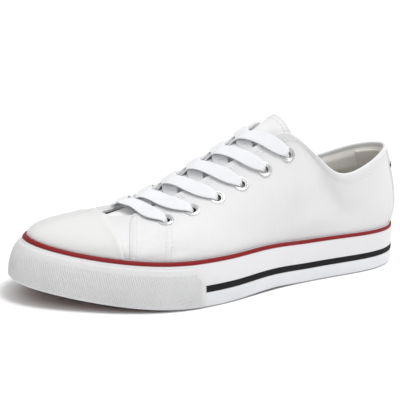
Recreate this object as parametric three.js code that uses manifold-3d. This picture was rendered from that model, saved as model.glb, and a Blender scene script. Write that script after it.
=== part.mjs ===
// A left canvas sneaker of the low, vulcanised kind, standing empty on its sole.
// Millimetres, +Z up. The toe points along -Y and the little-toe side faces +X.
// Along the shoe, "at" runs from 0 at the back of the heel to LENGTH at the tip of the toe.
// Round the shoe, "turn" runs from 0 at the toe, down the lateral side to 0.5 at the heel,
// and back up the medial side to 1.
import * as THREE from "three";
import { mergeVertices } from "three/addons/utils/BufferGeometryUtils.js";
import Module from "manifold-3d";

// Driving dimensions
const LENGTH = 285;
const BALL_WIDTH = 103;
const INSTEP_HEIGHT = 100; // top corner of the eyelet facing above the floor
const TOE_SPRING = 13;
const ARCH_RISE = 1;
const GAP = 0.3; // kept between pieces that meet

// Sole
const FOXING_WALL = 2.5;
const FOXING_CLEAR = 0.6; // the rubber strip starts this far above the tread
const SOLE_DEPTH = { heel: 12, forefoot: 9 };
const TREAD_BEVEL = 1.6;
const SPRING_START = 0.62; // share of the length where the toe begins to lift
const SPRING_POWER = 1.8;
const ARCH_SPAN = [0.3, 0.55]; // the flats of heel and forefoot lie either side of it
const INSOLE_THICKNESS = 3.5;
const BUMPER_WALL = 1.2;
const BUMPER_END = 0.237; // turn at which the toe bumper stops, on each side
const BUMPER_SPAN = [0.05, 0.86]; // shares of the strip's height
const BUMPER_CORNER = 0.014; // turns over which its upper corner is rounded off

// Upper
const WALL = 1.8;
const EYELETS_A_SIDE = 6;
const EYELET_INSET = [19, 14.5]; // from the facing's edge to the middle of the first and last eyelet
const EYELET_AT = [0.677, 0.365]; // first and last eyelet, as shares of the length
const EYELET = { flange: 4.75, hole: 2.4, barrel: 3.0, bore: 3.4, proud: 0.9, through: 2.4 };
const CAP_WALL = 1.3;
const CAP_BACK = 0.782; // where the toe cap's rear edge runs across the vamp
const CAP_SWEEP = 0.01; // how far that edge runs forward at the sides
const CAP_FOOT = 0.25; // share of the upper's first row of facets that the toe cap leaves bare
const CAP_COLUMNS = 14;
const LACE = {
  width: 8.5,
  pinch: 5,
  thickness: 1.1,
  over: 1.6,
  dip: 3.4,
  under: 0.8,
  settle: 0.4,
  slack: [12, 20, 26], // how far towards the toe a crossing lies: near edge, middle, far edge
  barSlack: [7, 14, 13],
};

// Outline of the rubber strip: sides as shares of the ball width, stations as shares of the length.
// In millimetres: how far the strip's top leans in over the upper, and how tall it stands.
// Flare is how far the canvas swells out above it, as a share of its climb.
const SOLE_ROWS = [
  { turn: 0, lateral: -0.058, lateralAt: 0.986, medial: -0.058, medialAt: 0.986, lean: 9.5, tall: 27.4, flare: 0 },
  { turn: 0.053, lateral: 0.125, lateralAt: 0.957, medial: -0.265, medialAt: 0.96, lean: 8.5, tall: 27.4, flare: 0 },
  { turn: 0.12, lateral: 0.334, lateralAt: 0.86, medial: -0.424, medialAt: 0.88, lean: 7, tall: 27.8, flare: 0.03 },
  { turn: 0.192, lateral: 0.503, lateralAt: 0.718, medial: -0.468, medialAt: 0.735, lean: 5, tall: 29.6, flare: 0.06 },
  { turn: 0.264, lateral: 0.49, lateralAt: 0.553, medial: -0.4, medialAt: 0.562, lean: 4, tall: 30, flare: 0.06 },
  { turn: 0.332, lateral: 0.362, lateralAt: 0.378, medial: -0.312, medialAt: 0.378, lean: 3.2, tall: 29, flare: 0.08 },
  { turn: 0.399, lateral: 0.3, lateralAt: 0.2, medial: -0.312, medialAt: 0.2, lean: 2.2, tall: 28.5, flare: 0.12 },
  { turn: 0.452, lateral: 0.225, lateralAt: 0.064, medial: -0.232, medialAt: 0.064, lean: 1.2, tall: 28, flare: 0.17 },
  { turn: 0.5, lateral: 0.005, lateralAt: 0, medial: 0.005, medialAt: 0, lean: 1, tall: 27.8, flare: 0.19 },
];

// Edge of the opening: throat, facing, collar and heel. Heights are shares of the instep height,
// fall is the wall's steepness at that edge in degrees, and reach its two curve handles
// as shares of the rib's length, from the sole and from the edge.
const TOP_ROWS = [
  { place: "throat", turn: 0, side: 0, at: 0.785, height: 0.518, fall: 8, low: 0.12, high: 0.5 },
  { place: "throat corner", turn: 0.06, side: 0.064, at: 0.775, height: 0.518, fall: 12, low: 0.14, high: 0.48 },
  { place: "facing foot", turn: 0.12, side: 0.108, at: 0.722, height: 0.525, fall: 20, low: 0.24, high: 0.44 },
  { place: "first eyelet", turn: 0.192, side: 0.13, at: 0.65, height: 0.6, fall: 32, low: 0.3, high: 0.42 },
  { place: "third eyelet", turn: 0.264, side: 0.145, at: 0.55, height: 0.735, fall: 36, low: 0.32, high: 0.4 },
  { place: "fifth eyelet", turn: 0.325, side: 0.152, at: 0.43, height: 0.91, fall: 38, low: 0.34, high: 0.38 },
  { place: "facing top", turn: 0.347, side: 0.165, at: 0.382, height: 0.98, fall: 42, low: 0.37, high: 0.36 },
  { place: "facing corner", turn: 0.362, side: 0.2, at: 0.35, height: 0.99, fall: 52, low: 0.4, high: 0.35 },
  { place: "collar front", turn: 0.378, side: 0.242, at: 0.302, height: 0.885, fall: 64, low: 0.4, high: 0.34 },
  { place: "collar dip", turn: 0.405, side: 0.27, at: 0.228, height: 0.712, fall: 78, low: 0.38, high: 0.33 },
  { place: "collar side", turn: 0.432, side: 0.24, at: 0.152, height: 0.725, fall: 80, low: 0.37, high: 0.33 },
  { place: "collar back", turn: 0.466, side: 0.155, at: 0.076, height: 0.797, fall: 80, low: 0.36, high: 0.33 },
  { place: "heel top", turn: 0.5, side: 0, at: 0.032, height: 0.83, fall: 80, low: 0.36, high: 0.33 },
];
// Tongue sections: the station along the facing that each starts from, then how far it is carried
// forward and up from there, and its width and crown as shares of that section's own.
const TONGUE_ROWS = [
  { at: 0.7, forward: 0, climb: 0, width: 1, crown: 1 },
  { at: 0.65, forward: 0, climb: 0, width: 1, crown: 1 },
  { at: 0.6, forward: 0, climb: 0, width: 1, crown: 1 },
  { at: 0.55, forward: 0, climb: 0, width: 1, crown: 1 },
  { at: 0.49, forward: 0, climb: 0, width: 1, crown: 1 },
  { at: 0.43, forward: 0, climb: 0, width: 1, crown: 1 },
  { at: 0.4, forward: 0, climb: 0, width: 1, crown: 1 },
  { at: 0.375, forward: 0, climb: 0, width: 1, crown: 1 },
  { at: 0.375, forward: -3.2, climb: 2, width: 1, crown: 1.08, bow: 1.2 },
  { at: 0.375, forward: -6, climb: 3.6, width: 0.98, crown: 1.12, bow: 2.8 },
  { at: 0.375, forward: -8, climb: 4.7, width: 0.93, crown: 1.12, bow: 4.4 },
  { at: 0.375, forward: -9.1, climb: 5.2, width: 0.8, crown: 1.08, bow: 5.3 },
];
const TONGUE = { thickness: 2.4, below: 5.4, wings: [4.5, 9, 13.5], rootLift: 1.4, rootReach: 11 };
const INSTEP_CROWN = 4.5; // height of the instep's ridge over the facing's edges

const STEPS_ROUND = 76;
const UPS = [0, 0.1, 0.24, 0.4, 0.55, 0.7, 0.85, 1]; // rows of facets up the upper's ribs
const mix = THREE.MathUtils.lerp;
const smooth = THREE.MathUtils.smoothstep;

// A smooth curve through (knots, values): a natural cubic spline, or one that repeats every turn.
function spline(knots, values, closed) {
  const count = knots.length;
  const rows = closed ? count : count - 2;
  const first = closed ? 0 : 1;
  const knot = (i) => knots[(i + count) % count] + Math.floor(i / count);
  const value = (i) => values[(i + count) % count];
  const bend = new Array(count).fill(0);
  for (let pass = 0; pass < 60; pass++) {
    for (let k = 0; k < rows; k++) {
      const i = first + k;
      const before = knot(i) - knot(i - 1);
      const after = knot(i + 1) - knot(i);
      const kink = (value(i + 1) - value(i)) / after - (value(i) - value(i - 1)) / before;
      const around = before * bend[(i - 1 + count) % count] + after * bend[(i + 1) % count];
      bend[i] = (6 * kink - around) / (2 * (before + after));
    }
  }
  return (t) => {
    const u = closed ? t - Math.floor(t) : t;
    let i = 0;
    while (i < (closed ? count - 1 : count - 2) && knot(i + 1) <= u) i++;
    const step = knot(i + 1) - knot(i);
    const b = (u - knot(i)) / step;
    const a = 1 - b;
    const sag = (a ** 3 - a) * bend[i] + (b ** 3 - b) * bend[(i + 1) % count];
    return a * value(i) + b * value(i + 1) + (sag * step * step) / 6;
  };
}

// Both sides of a table as one closed loop of rows, lateral first and then medial in reverse.
function bothSides(rows, lateral, medial) {
  const back = rows.slice(1, -1).reverse();
  const knots = [...rows.map((r) => r.turn), ...back.map((r) => 1 - r.turn)];
  return spline(knots, [...rows.map(lateral), ...back.map(medial)], true);
}

const outlineSide = bothSides(SOLE_ROWS, (r) => r.lateral * BALL_WIDTH, (r) => r.medial * BALL_WIDTH);
const outlineAt = bothSides(SOLE_ROWS, (r) => r.lateralAt * LENGTH, (r) => r.medialAt * LENGTH);
const even = (rows, column, scale) => bothSides(rows, (r) => r[column] * scale, (r) => r[column] * scale);
const outlineLean = even(SOLE_ROWS, "lean", 1);
const outlineTall = even(SOLE_ROWS, "tall", 1);
const outlineFlare = even(SOLE_ROWS, "flare", 1);
const topSide = bothSides(TOP_ROWS, (r) => r.side * BALL_WIDTH, (r) => -r.side * BALL_WIDTH);
const topAt = even(TOP_ROWS, "at", LENGTH);
const topHeight = even(TOP_ROWS, "height", INSTEP_HEIGHT);
const topFall = even(TOP_ROWS, "fall", Math.PI / 180);
const reachLow = even(TOP_ROWS, "low", 1);
const reachHigh = even(TOP_ROWS, "high", 1);
// Height of the tread above the floor.
function rise(at) {
  const lift = Math.max(0, (at / LENGTH - SPRING_START) / (1 - SPRING_START));
  const waist = THREE.MathUtils.clamp((at / LENGTH - ARCH_SPAN[0]) / (ARCH_SPAN[1] - ARCH_SPAN[0]), 0, 1);
  return TOE_SPRING * lift ** SPRING_POWER + ARCH_RISE * Math.sin(Math.PI * waist) ** 2;
}
const between = (sizes, at) => mix(sizes.heel, sizes.forefoot, smooth(at / LENGTH, 0.3, 0.75));
const soleTop = (at) => rise(at) + between(SOLE_DEPTH, at);

// Point on the rubber strip's outer face, at a share of its height, moved out by some millimetres.
function stripPoint(turn, share, out) {
  const step = 1e-3;
  const dx = outlineSide(turn + step) - outlineSide(turn - step);
  const dAt = outlineAt(turn + step) - outlineAt(turn - step);
  const length = Math.hypot(dx, dAt);
  const offset = out - outlineLean(turn) * share ** 2.4;
  const at = outlineAt(turn) + (offset * dx) / length;
  const base = outlineAt(turn);
  const height = rise(base) + mix(FOXING_CLEAR, outlineTall(turn), share);
  return new THREE.Vector3(outlineSide(turn) - (offset * dAt) / length, LENGTH / 2 - at, height);
}
const shareAtHeight = (turn, height) => {
  const at = outlineAt(turn);
  return Math.max(0, (height - rise(at) - FOXING_CLEAR) / (outlineTall(turn) - FOXING_CLEAR));
};

// Point on the upper's outer face: up the rib at this turn, from 0 at the strip's top to 1 at the edge.
function ribPoint(turn, up) {
  const foot = stripPoint(turn, 1, -FOXING_WALL - GAP);
  const head = new THREE.Vector3(topSide(turn), LENGTH / 2 - topAt(turn), topHeight(turn));
  const level = foot.clone().sub(head).setZ(0).normalize();
  const span = foot.distanceTo(head);
  const low = foot.clone().addScaledVector(level, outlineFlare(turn) * span);
  low.z += span * reachLow(turn);
  const fall = topFall(turn);
  const high = head.clone().addScaledVector(level, Math.cos(fall) * span * reachHigh(turn));
  high.z -= Math.sin(fall) * span * reachHigh(turn);
  return new THREE.CubicBezierCurve3(foot, low, high, head).getPoint(up);
}

// Outward direction of the upper's face.
function ribNormal(turn, up) {
  const step = 2e-3;
  const above = Math.min(1, up + step);
  const below = Math.max(0, up - step);
  const climb = ribPoint(turn, above).sub(ribPoint(turn, below));
  const round = ribPoint(turn + step, up).sub(ribPoint(turn - step, up));
  return climb.cross(round).normalize().negate();
}
const facePoint = (turn, up, out) => ribPoint(turn, up).addScaledVector(ribNormal(turn, up), out);

// Geometry from quads and triangles over a list of points.
function geometryOf(points, faces) {
  const geometry = new THREE.BufferGeometry().setFromPoints(points);
  geometry.setIndex(faces.flatMap((f) => (f.length === 3 ? [f[0], f[2], f[1]] : [f[0], f[2], f[1], f[0], f[3], f[2]])));
  return geometry;
}

// A closed ring: the same section loop repeated round the shoe.
function ringGeometry(sections) {
  const count = sections[0].length;
  const faces = sections.flatMap((_, i) =>
    sections[0].map((_, j) => {
      const next = (i + 1) % sections.length;
      const over = (j + 1) % count;
      return [i * count + j, i * count + over, next * count + over, next * count + j];
    }),
  );
  return geometryOf(sections.flat(), faces);
}

// A closed bar: section loops in a row, with both end loops filled as fans.
function barGeometry(sections) {
  const count = sections[0].length;
  const last = (sections.length - 1) * count;
  const faces = [];
  for (let i = 0; i + 1 < sections.length; i++) {
    for (let j = 0; j < count; j++) {
      const over = (j + 1) % count;
      faces.push([i * count + j, i * count + over, (i + 1) * count + over, (i + 1) * count + j]);
    }
  }
  for (let j = 1; j + 1 < count; j++) {
    faces.push([0, j + 1, j], [last, last + j, last + j + 1]);
  }
  return geometryOf(sections.flat(), faces);
}

// A slab inside the outline: rings of points from bottom to top, closed by rungs from side to side.
function slabGeometry(rings) {
  const count = rings[0].length;
  const half = count / 2;
  const top = (rings.length - 1) * count;
  const faces = [];
  for (let r = 0; r + 1 < rings.length; r++) {
    for (let i = 0; i < count; i++) {
      const next = (i + 1) % count;
      faces.push([r * count + i, (r + 1) * count + i, (r + 1) * count + next, r * count + next]);
    }
  }
  for (let i = 0; i < half; i++) {
    const left = (count - i) % count;
    const right = i;
    const nextLeft = count - i - 1;
    const nextRight = i + 1;
    const rung = [left, right, nextRight, nextLeft].filter((v, k, all) => all.indexOf(v) === k);
    faces.push(rung);
    faces.push(rung.map((v) => top + v).reverse());
  }
  return geometryOf(rings.flat(), faces);
}

const turns = (count, from = 0, to = 1) =>
  Array.from({ length: count }, (_, i) => mix(from, to, i / (to - from === 1 ? count : count - 1)));

// manifold-3d joins and cuts.
const wasm = await Module();
wasm.setup();
function solidOf(geometry) {
  const bare = geometry.clone();
  bare.deleteAttribute("normal");
  bare.deleteAttribute("uv");
  const merged = mergeVertices(bare, 1e-4);
  const mesh = { numProp: 3, vertProperties: merged.attributes.position.array };
  return new wasm.Manifold(new wasm.Mesh({ ...mesh, triVerts: new Uint32Array(merged.index.array) }));
}
function geometryOfSolid(solid) {
  const mesh = solid.getMesh();
  const geometry = new THREE.BufferGeometry();
  geometry.setAttribute("position", new THREE.BufferAttribute(mesh.vertProperties, 3));
  geometry.setIndex(new THREE.BufferAttribute(mesh.triVerts, 1));
  return geometry;
}

const shoe = new THREE.Group();
function addPiece(name, geometry, look) {
  geometry.computeVertexNormals();
  const mesh = new THREE.Mesh(geometry, new THREE.MeshStandardMaterial(look));
  mesh.name = name;
  shoe.add(mesh);
  return mesh;
}
const RUBBER = { color: 0xf0f0ee, roughness: 0.55, metalness: 0 };
const CANVAS = { color: 0xf4f4f4, roughness: 0.95, metalness: 0 };
const STEEL = { color: 0xc9c9cc, roughness: 0.25, metalness: 1 };

// Outsole: the whole rubber and filler body inside the strip, with a bevelled tread edge.
function outsoleGeometry() {
  const ring = (out, lift) =>
    turns(STEPS_ROUND).map((turn) => {
      const point = stripPoint(turn, shareAtHeight(turn, lift(outlineAt(turn))), out);
      point.z = lift(LENGTH / 2 - point.y);
      return point;
    });
  const inside = -FOXING_WALL - GAP;
  return slabGeometry([
    ring(inside - TREAD_BEVEL, (at) => rise(at)),
    ring(inside, (at) => rise(at) + TREAD_BEVEL),
    ring(inside - GAP, (at) => soleTop(at)),
  ]);
}

// Foxing: the rubber strip wound round the sole and the foot of the upper.
function foxingGeometry() {
  const shares = [0, 0.35, 0.7, 1];
  return ringGeometry(
    turns(STEPS_ROUND).map((turn) => [
      ...shares.map((share) => stripPoint(turn, share, 0)),
      ...shares.toReversed().map((share) => stripPoint(turn, share, -FOXING_WALL)),
    ]),
  );
}

// Toe bumper: the ribbed strip laid over the foxing round the front.
function bumperTop(turn) {
  const toEnd = Math.min(1, (BUMPER_END - Math.abs(turn)) / BUMPER_CORNER);
  return mix(0.55, 1, Math.sqrt(1 - (1 - toEnd) ** 2)) * BUMPER_SPAN[1];
}
function bumperGeometry() {
  const straight = BUMPER_END - BUMPER_CORNER;
  const corner = [0.3, 0.65, 1].map((s) => straight + BUMPER_CORNER * Math.sin((s * Math.PI) / 2));
  const stations = [...corner.toReversed().map((turn) => -turn), ...turns(31, -straight, straight), ...corner];
  return barGeometry(
    stations.map((turn) => {
      const shares = [0, 0.37, 0.8025, 1].map((s) => mix(BUMPER_SPAN[0], bumperTop(turn), s));
      return [
        ...shares.map((share) => stripPoint(turn, share, 1.5 * GAP + BUMPER_WALL)),
        ...shares.toReversed().map((share) => stripPoint(turn, share, 1.5 * GAP)),
      ];
    }),
  );
}

// Insole: the footbed inside the upper.
function insoleGeometry() {
  const inset = -FOXING_WALL - WALL - 3 * GAP;
  const ring = (lift, extra) =>
    turns(STEPS_ROUND).map((turn) => {
      const floor = soleTop(outlineAt(turn));
      const point = stripPoint(turn, shareAtHeight(turn, floor + lift), inset + extra);
      point.z = soleTop(LENGTH / 2 - point.y) + lift;
      return point;
    });
  return slabGeometry([ring(GAP, -1), ring(INSOLE_THICKNESS - 1, 0), ring(INSOLE_THICKNESS, -1)]);
}

// Upper: a skirt inside the foxing, then ribs up to the opening, with a wall of even thickness.
function upperGeometry() {
  const skirt = [0, 0.5];
  return ringGeometry(
    turns(STEPS_ROUND).map((turn) => {
      const foot = shareAtHeight(turn, soleTop(outlineAt(turn)) + 2 * GAP);
      const low = (out) => skirt.map((s) => stripPoint(turn, mix(foot, 1, s), -FOXING_WALL - GAP + out));
      return [
        ...low(0),
        ...UPS.map((up) => facePoint(turn, up, 0)),
        ...UPS.toReversed().map((up) => facePoint(turn, up, -WALL)),
        ...low(-WALL).reverse(),
      ];
    }),
  );
}

// The turn at which something along the facing reaches a station, on the lateral side.
function turnWhere(at, stationOf) {
  let low = 0.1;
  let high = 0.375;
  for (let i = 0; i < 30; i++) {
    const middle = (low + high) / 2;
    if (stationOf(middle) > at) low = middle;
    else high = middle;
  }
  return low;
}
const onSide = (turn, medial) => (medial ? 1 - turn : turn);
const edgeTurn = (at, medial) => onSide(turnWhere(at, topAt), medial);

// Where an eyelet sits: inset from the facing's edge, at its own station.
function insetUp(turn, inset) {
  const edge = ribPoint(turn, 1);
  let up = 1;
  while (ribPoint(turn, up).distanceTo(edge) < inset) up -= 0.002;
  return up;
}
function eyeletPlace(index, medial) {
  const share = index / (EYELETS_A_SIDE - 1);
  const at = LENGTH * mix(EYELET_AT[0], EYELET_AT[1], share);
  const inset = mix(EYELET_INSET[0], EYELET_INSET[1], share);
  const stationOf = (side) => {
    const turn = onSide(side, medial);
    return LENGTH / 2 - ribPoint(turn, insetUp(turn, inset)).y;
  };
  const turn = onSide(turnWhere(at, stationOf), medial);
  return { at, turn, up: insetUp(turn, inset) };
}
const EYELET_PLACES = [false, true].flatMap((medial) =>
  Array.from({ length: EYELETS_A_SIDE }, (_, index) => ({ medial, index, ...eyeletPlace(index, medial) })),
);

// Turns a shape made along +Z so that it stands on the upper's face at an eyelet.
function standAt(geometry, place, out) {
  const direction = ribNormal(place.turn, place.up);
  const toFace = new THREE.Quaternion().setFromUnitVectors(new THREE.Vector3(0, 0, 1), direction);
  const spot = facePoint(place.turn, place.up, out);
  return geometry.applyMatrix4(new THREE.Matrix4().compose(spot, toFace, new THREE.Vector3(1, 1, 1)));
}
function eyeletGeometry(place) {
  const { flange, hole, barrel, proud, through } = EYELET;
  const profile = [
    [hole, -through], [barrel, -through], [barrel, 0], [flange, 0], [flange - 0.7, proud], [hole, proud], [hole, -through],
  ].map(([r, z]) => new THREE.Vector2(r, z));
  const ring = new THREE.LatheGeometry(profile, 10).rotateX(Math.PI / 2);
  return standAt(ring, place, 2 * GAP);
}
function boreSolid(place) {
  const bore = new THREE.CylinderGeometry(EYELET.bore, EYELET.bore, 12, 10).rotateX(Math.PI / 2);
  return solidOf(standAt(bore, place, 0));
}

// Toe cap: the shell between two larger forms of the upper, cut off along an edge across the vamp.
function capSolid() {
  const reach = CAP_COLUMNS / STEPS_ROUND;
  const shell = barGeometry(
    turns(2 * CAP_COLUMNS + 1, -reach, reach).map((turn) => {
      const foot = (out) => facePoint(turn, 0, out).lerp(facePoint(turn, UPS[1], out), CAP_FOOT);
      const sheet = (out) => [foot(out), ...UPS.slice(1).map((up) => facePoint(turn, up, out))];
      return [...sheet(GAP + CAP_WALL), ...sheet(GAP).reverse()];
    }),
  );
  const front = barGeometry(
    turns(13, -1, 1).map((across) => {
      const x = across * BALL_WIDTH;
      const back = LENGTH * (0.5 - CAP_BACK - CAP_SWEEP * (2 * across) ** 2);
      const corner = (y, z) => new THREE.Vector3(x, y, z);
      return [corner(-LENGTH, 0), corner(-LENGTH, LENGTH), corner(back, LENGTH), corner(back, 0)];
    }),
  );
  return solidOf(shell).intersect(solidOf(front));
}

// The instep between the facings: across runs from -1 at the medial edge to 1 at the lateral edge.
function instepPoint(at, across, out) {
  const lateral = facePoint(edgeTurn(at, false), 1, out);
  const medial = facePoint(edgeTurn(at, true), 1, out);
  const point = medial.lerp(lateral, (1 + across) / 2);
  point.z += INSTEP_CROWN * (1 - across * across);
  return point;
}

// Tongue: a padded flap under the facings, which stands up past their top corners.
function tongueSection({ at, forward, climb, width, crown, bow = 0 }, out) {
  const wing = (medial, reach) => {
    const turn = edgeTurn(at * LENGTH, medial);
    return facePoint(turn, insetUp(turn, reach), out);
  };
  const sheet = [
    ...TONGUE.wings.toReversed().map((reach) => wing(true, reach)),
    ...turns(5, -1, 1).map((across) => instepPoint(at * LENGTH, across, out)),
    ...TONGUE.wings.map((reach) => wing(false, reach)),
  ];
  const ridge = sheet[5];
  const edge = sheet[3].z;
  return sheet.map((point, i) => {
    const x = mix(ridge.x, point.x, width);
    const back = forward + bow * (i / 5 - 1) ** 2;
    const arch = point.z > edge ? (point.z - edge) * crown + edge : mix(ridge.z, point.z, width);
    return new THREE.Vector3(x, mix(ridge.y, point.y, width) - back, arch + climb);
  });
}
// The tongue's root, close under the vamp round the front of the throat.
function tongueRoot(share, out) {
  const side = edgeTurn(TONGUE_ROWS[0].at * LENGTH, false) - 0.012 - 0.05 * share;
  const across = [-1, -1, -1, -1, -0.5, 0, 0.5, 1, 1, 1, 1];
  const reaches = [...TONGUE.wings.toReversed(), 0, 0, 0, 0, 0, ...TONGUE.wings];
  return across.map((place, i) => {
    const turn = side * place;
    const lift = TONGUE.rootLift * mix(1 - place * place, 1, share * share);
    return facePoint(turn, insetUp(turn, reaches[i] + TONGUE.rootReach * share), out + lift);
  });
}
function tongueGeometry() {
  const band = (section, row) => [
    ...section(row, -TONGUE.below - TONGUE.thickness),
    ...section(row, -TONGUE.below).reverse(),
  ];
  return barGeometry([
    ...[1, 0.5, 0].map((share) => band(tongueRoot, share)),
    ...TONGUE_ROWS.map((row) => band(tongueSection, row)),
  ]);
}

// One flat run of lace: its middle line, face direction and width at each step.
function laceRun(stations) {
  return barGeometry(
    stations.map(({ point, normal, width }, i) => {
      const before = stations[Math.max(0, i - 1)].point;
      const after = stations[Math.min(stations.length - 1, i + 1)].point;
      const along = after.clone().sub(before).normalize();
      const side = normal.clone().cross(along).normalize();
      const face = along.cross(side).normalize();
      const corner = (across, up) =>
        point.clone().addScaledVector(side, (across * width) / 2).addScaledVector(face, (up * LACE.thickness) / 2);
      return [corner(-1, -1), corner(-1, 1), corner(1, 1), corner(1, -1)];
    }),
  );
}

// Stations of a crossing from the eyelet it enters, over the facing and the tongue,
// to the eyelet that it leaves on the other side, which it reaches under the facing if hidden.
function crossingStations(over, under, hidden) {
  const sign = over.medial ? -1 : 1;
  const slack = hidden ? LACE.slack : LACE.barSlack;
  const edgeAt = (s) => over.at + (s < 0.5 ? mix(slack[0], slack[1], 2 * s) : mix(slack[1], slack[2], 2 * s - 1));
  const overFacing = (place, s, at) => {
    const turn = mix(place.turn, edgeTurn(at, place.medial), s);
    const up = mix(place.up, 1, s);
    const out = 5 * GAP + EYELET.proud + LACE.thickness / 2 - s * LACE.settle;
    const width = mix(LACE.pinch, LACE.width, Math.min(1, s * 3));
    const level = instepPoint(at, 0, 1).sub(instepPoint(at, 0, 0)).normalize();
    const normal = ribNormal(turn, up).lerp(level, s ** 4 / 2).normalize();
    return { point: ribPoint(turn, up).addScaledVector(normal, out), normal, width };
  };
  const underFacing = (place, s, at) => {
    const turn = mix(place.turn, edgeTurn(at, place.medial), s);
    const up = mix(place.up, 1, s);
    const out = -WALL - 2 * GAP - LACE.thickness / 2 - LACE.under;
    return { point: facePoint(turn, up, out), normal: ribNormal(turn, up), width: mix(LACE.pinch, LACE.width, s) };
  };
  const middle = [0.25, 0.5, 0.75].map((s) => {
    const at = edgeAt(s);
    const lift = hidden ? mix(LACE.over, -LACE.dip, s) : LACE.over;
    const normal = instepPoint(at, 0, 1).sub(instepPoint(at, 0, 0));
    return { point: instepPoint(at, sign * (1 - 2 * s), lift), normal, width: LACE.width };
  });
  const leave = hidden ? underFacing : overFacing;
  return [
    ...[0, 0.35, 0.7, 1].map((s) => overFacing(over, s, edgeAt(0))),
    ...middle,
    ...[1, 0.7, 0.35, 0].map((s) => leave(under, s, edgeAt(1))),
  ];
}
function lacePlug(place) {
  const reach = [-WALL - 2 * GAP - LACE.under - LACE.thickness, 5 * GAP + EYELET.proud + LACE.thickness / 2];
  const plug = new THREE.CylinderGeometry(1.6, 1.6, reach[1] - reach[0], 6).rotateX(Math.PI / 2);
  return standAt(plug, place, (reach[0] + reach[1]) / 2);
}
function laceSolid() {
  const lateral = EYELET_PLACES.filter((p) => !p.medial);
  const medial = EYELET_PLACES.filter((p) => p.medial);
  const runs = [laceRun(crossingStations(lateral[0], medial[0], false))];
  for (let i = 0; i + 1 < EYELETS_A_SIDE; i++) {
    runs.push(laceRun(crossingStations(lateral[i + 1], medial[i], true)));
    runs.push(laceRun(crossingStations(medial[i + 1], lateral[i], true)));
  }
  const solids = [...runs, ...EYELET_PLACES.map(lacePlug)].map(solidOf);
  return solids.reduce((all, next) => all.add(next));
}

addPiece("outsole", outsoleGeometry(), RUBBER);
addPiece("foxing", foxingGeometry(), RUBBER);
addPiece("toe_bumper", bumperGeometry(), RUBBER);
addPiece("insole", insoleGeometry(), CANVAS);
const upper = EYELET_PLACES.map(boreSolid).reduce((shell, bore) => shell.subtract(bore), solidOf(upperGeometry()));
addPiece("upper", geometryOfSolid(upper), CANVAS);
addPiece("toe_cap", geometryOfSolid(capSolid()), RUBBER);
addPiece("tongue", tongueGeometry(), CANVAS);
for (const place of EYELET_PLACES) {
  addPiece(`eyelet_${place.medial ? "medial" : "lateral"}_${place.index + 1}`, eyeletGeometry(place), STEEL);
}
addPiece("lace", geometryOfSolid(laceSolid()), CANVAS);

// Stand the shoe over the origin.
const extent = new THREE.Box3().setFromObject(shoe);
const middle = extent.getCenter(new THREE.Vector3());
shoe.children.forEach((mesh) => mesh.geometry.translate(-middle.x, -middle.y, -extent.min.z));

export default shoe;
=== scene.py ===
"""A left canvas sneaker, low-cut and vulcanised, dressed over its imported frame.

Metres, +Z up. The toe points along -Y and the little-toe side faces +X. Along the shoe, "at" runs
from 0 at the back of the heel to the last's length at the toe. Round the shoe, "turn" runs from 0
at the toe, down the lateral side to 0.5 at the heel, and back up the medial side to 1.
"""

import sys
import logging
import math
from dataclasses import dataclass, field
from enum import Enum
from typing import Callable, Sequence

import bmesh
import bpy
import numpy as np
from mathutils import Matrix, Vector

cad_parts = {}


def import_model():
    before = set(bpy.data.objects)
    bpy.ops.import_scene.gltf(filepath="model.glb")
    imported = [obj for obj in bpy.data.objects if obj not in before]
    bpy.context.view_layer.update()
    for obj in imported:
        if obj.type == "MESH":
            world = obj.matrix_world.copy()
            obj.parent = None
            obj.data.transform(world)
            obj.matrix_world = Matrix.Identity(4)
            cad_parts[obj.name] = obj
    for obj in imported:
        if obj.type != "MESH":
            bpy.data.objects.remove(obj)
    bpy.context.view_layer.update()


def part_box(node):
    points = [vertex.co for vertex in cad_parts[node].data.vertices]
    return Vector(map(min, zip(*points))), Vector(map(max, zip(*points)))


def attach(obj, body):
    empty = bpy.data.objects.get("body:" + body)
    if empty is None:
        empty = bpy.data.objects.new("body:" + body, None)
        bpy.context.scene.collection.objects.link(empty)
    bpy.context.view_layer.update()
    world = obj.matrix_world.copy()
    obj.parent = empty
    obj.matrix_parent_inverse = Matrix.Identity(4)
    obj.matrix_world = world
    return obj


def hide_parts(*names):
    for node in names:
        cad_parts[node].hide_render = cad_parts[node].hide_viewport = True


Array = np.ndarray
LOG = logging.getLogger("sneaker")
SAME_POINT = 1e-7  # metres within which two corners are one


# ---------------------------------------------------------------- shape of the last


class Loop:
    """A smooth curve through values at knots, repeating every whole turn."""

    def __init__(self, knots: Sequence[float], values: Sequence[float]) -> None:
        """Solves for the curve's bends.

        Args:
            knots: rising positions from 0 to below 1.
            values: the curve's value at each knot.
        """
        self.knots = np.append(knots, 1.0)
        self.values = np.append(values, values[0])
        count = len(knots)
        gaps = np.diff(self.knots)
        slopes = np.diff(self.values) / gaps
        system = np.zeros((count, count))
        for i in range(count):
            before, after = gaps[i - 1], gaps[i]
            system[i, i] += 2 * (before + after)
            system[i, i - 1] += before
            system[i, (i + 1) % count] += after
        bends = np.linalg.solve(system, 6 * (slopes - np.roll(slopes, 1)))
        self.bends = np.append(bends, bends[0])

    def __call__(self, turn: Array) -> Array:
        """The curve's value at each turn."""
        turn = np.mod(turn, 1.0)
        i = np.clip(np.searchsorted(self.knots, turn, side="right") - 1, 0, len(self.knots) - 2)
        step = self.knots[i + 1] - self.knots[i]
        b = (turn - self.knots[i]) / step
        a = 1 - b
        sag = (a**3 - a) * self.bends[i] + (b**3 - b) * self.bends[i + 1]
        return a * self.values[i] + b * self.values[i + 1] + sag * step**2 / 6


@dataclass(frozen=True)
class SoleRow:
    """One station round the rubber strip: sides in ball widths, stations in lengths."""

    turn: float
    lateral: float
    lateral_at: float
    medial: float
    medial_at: float
    lean: float
    tall: float
    flare: float


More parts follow.
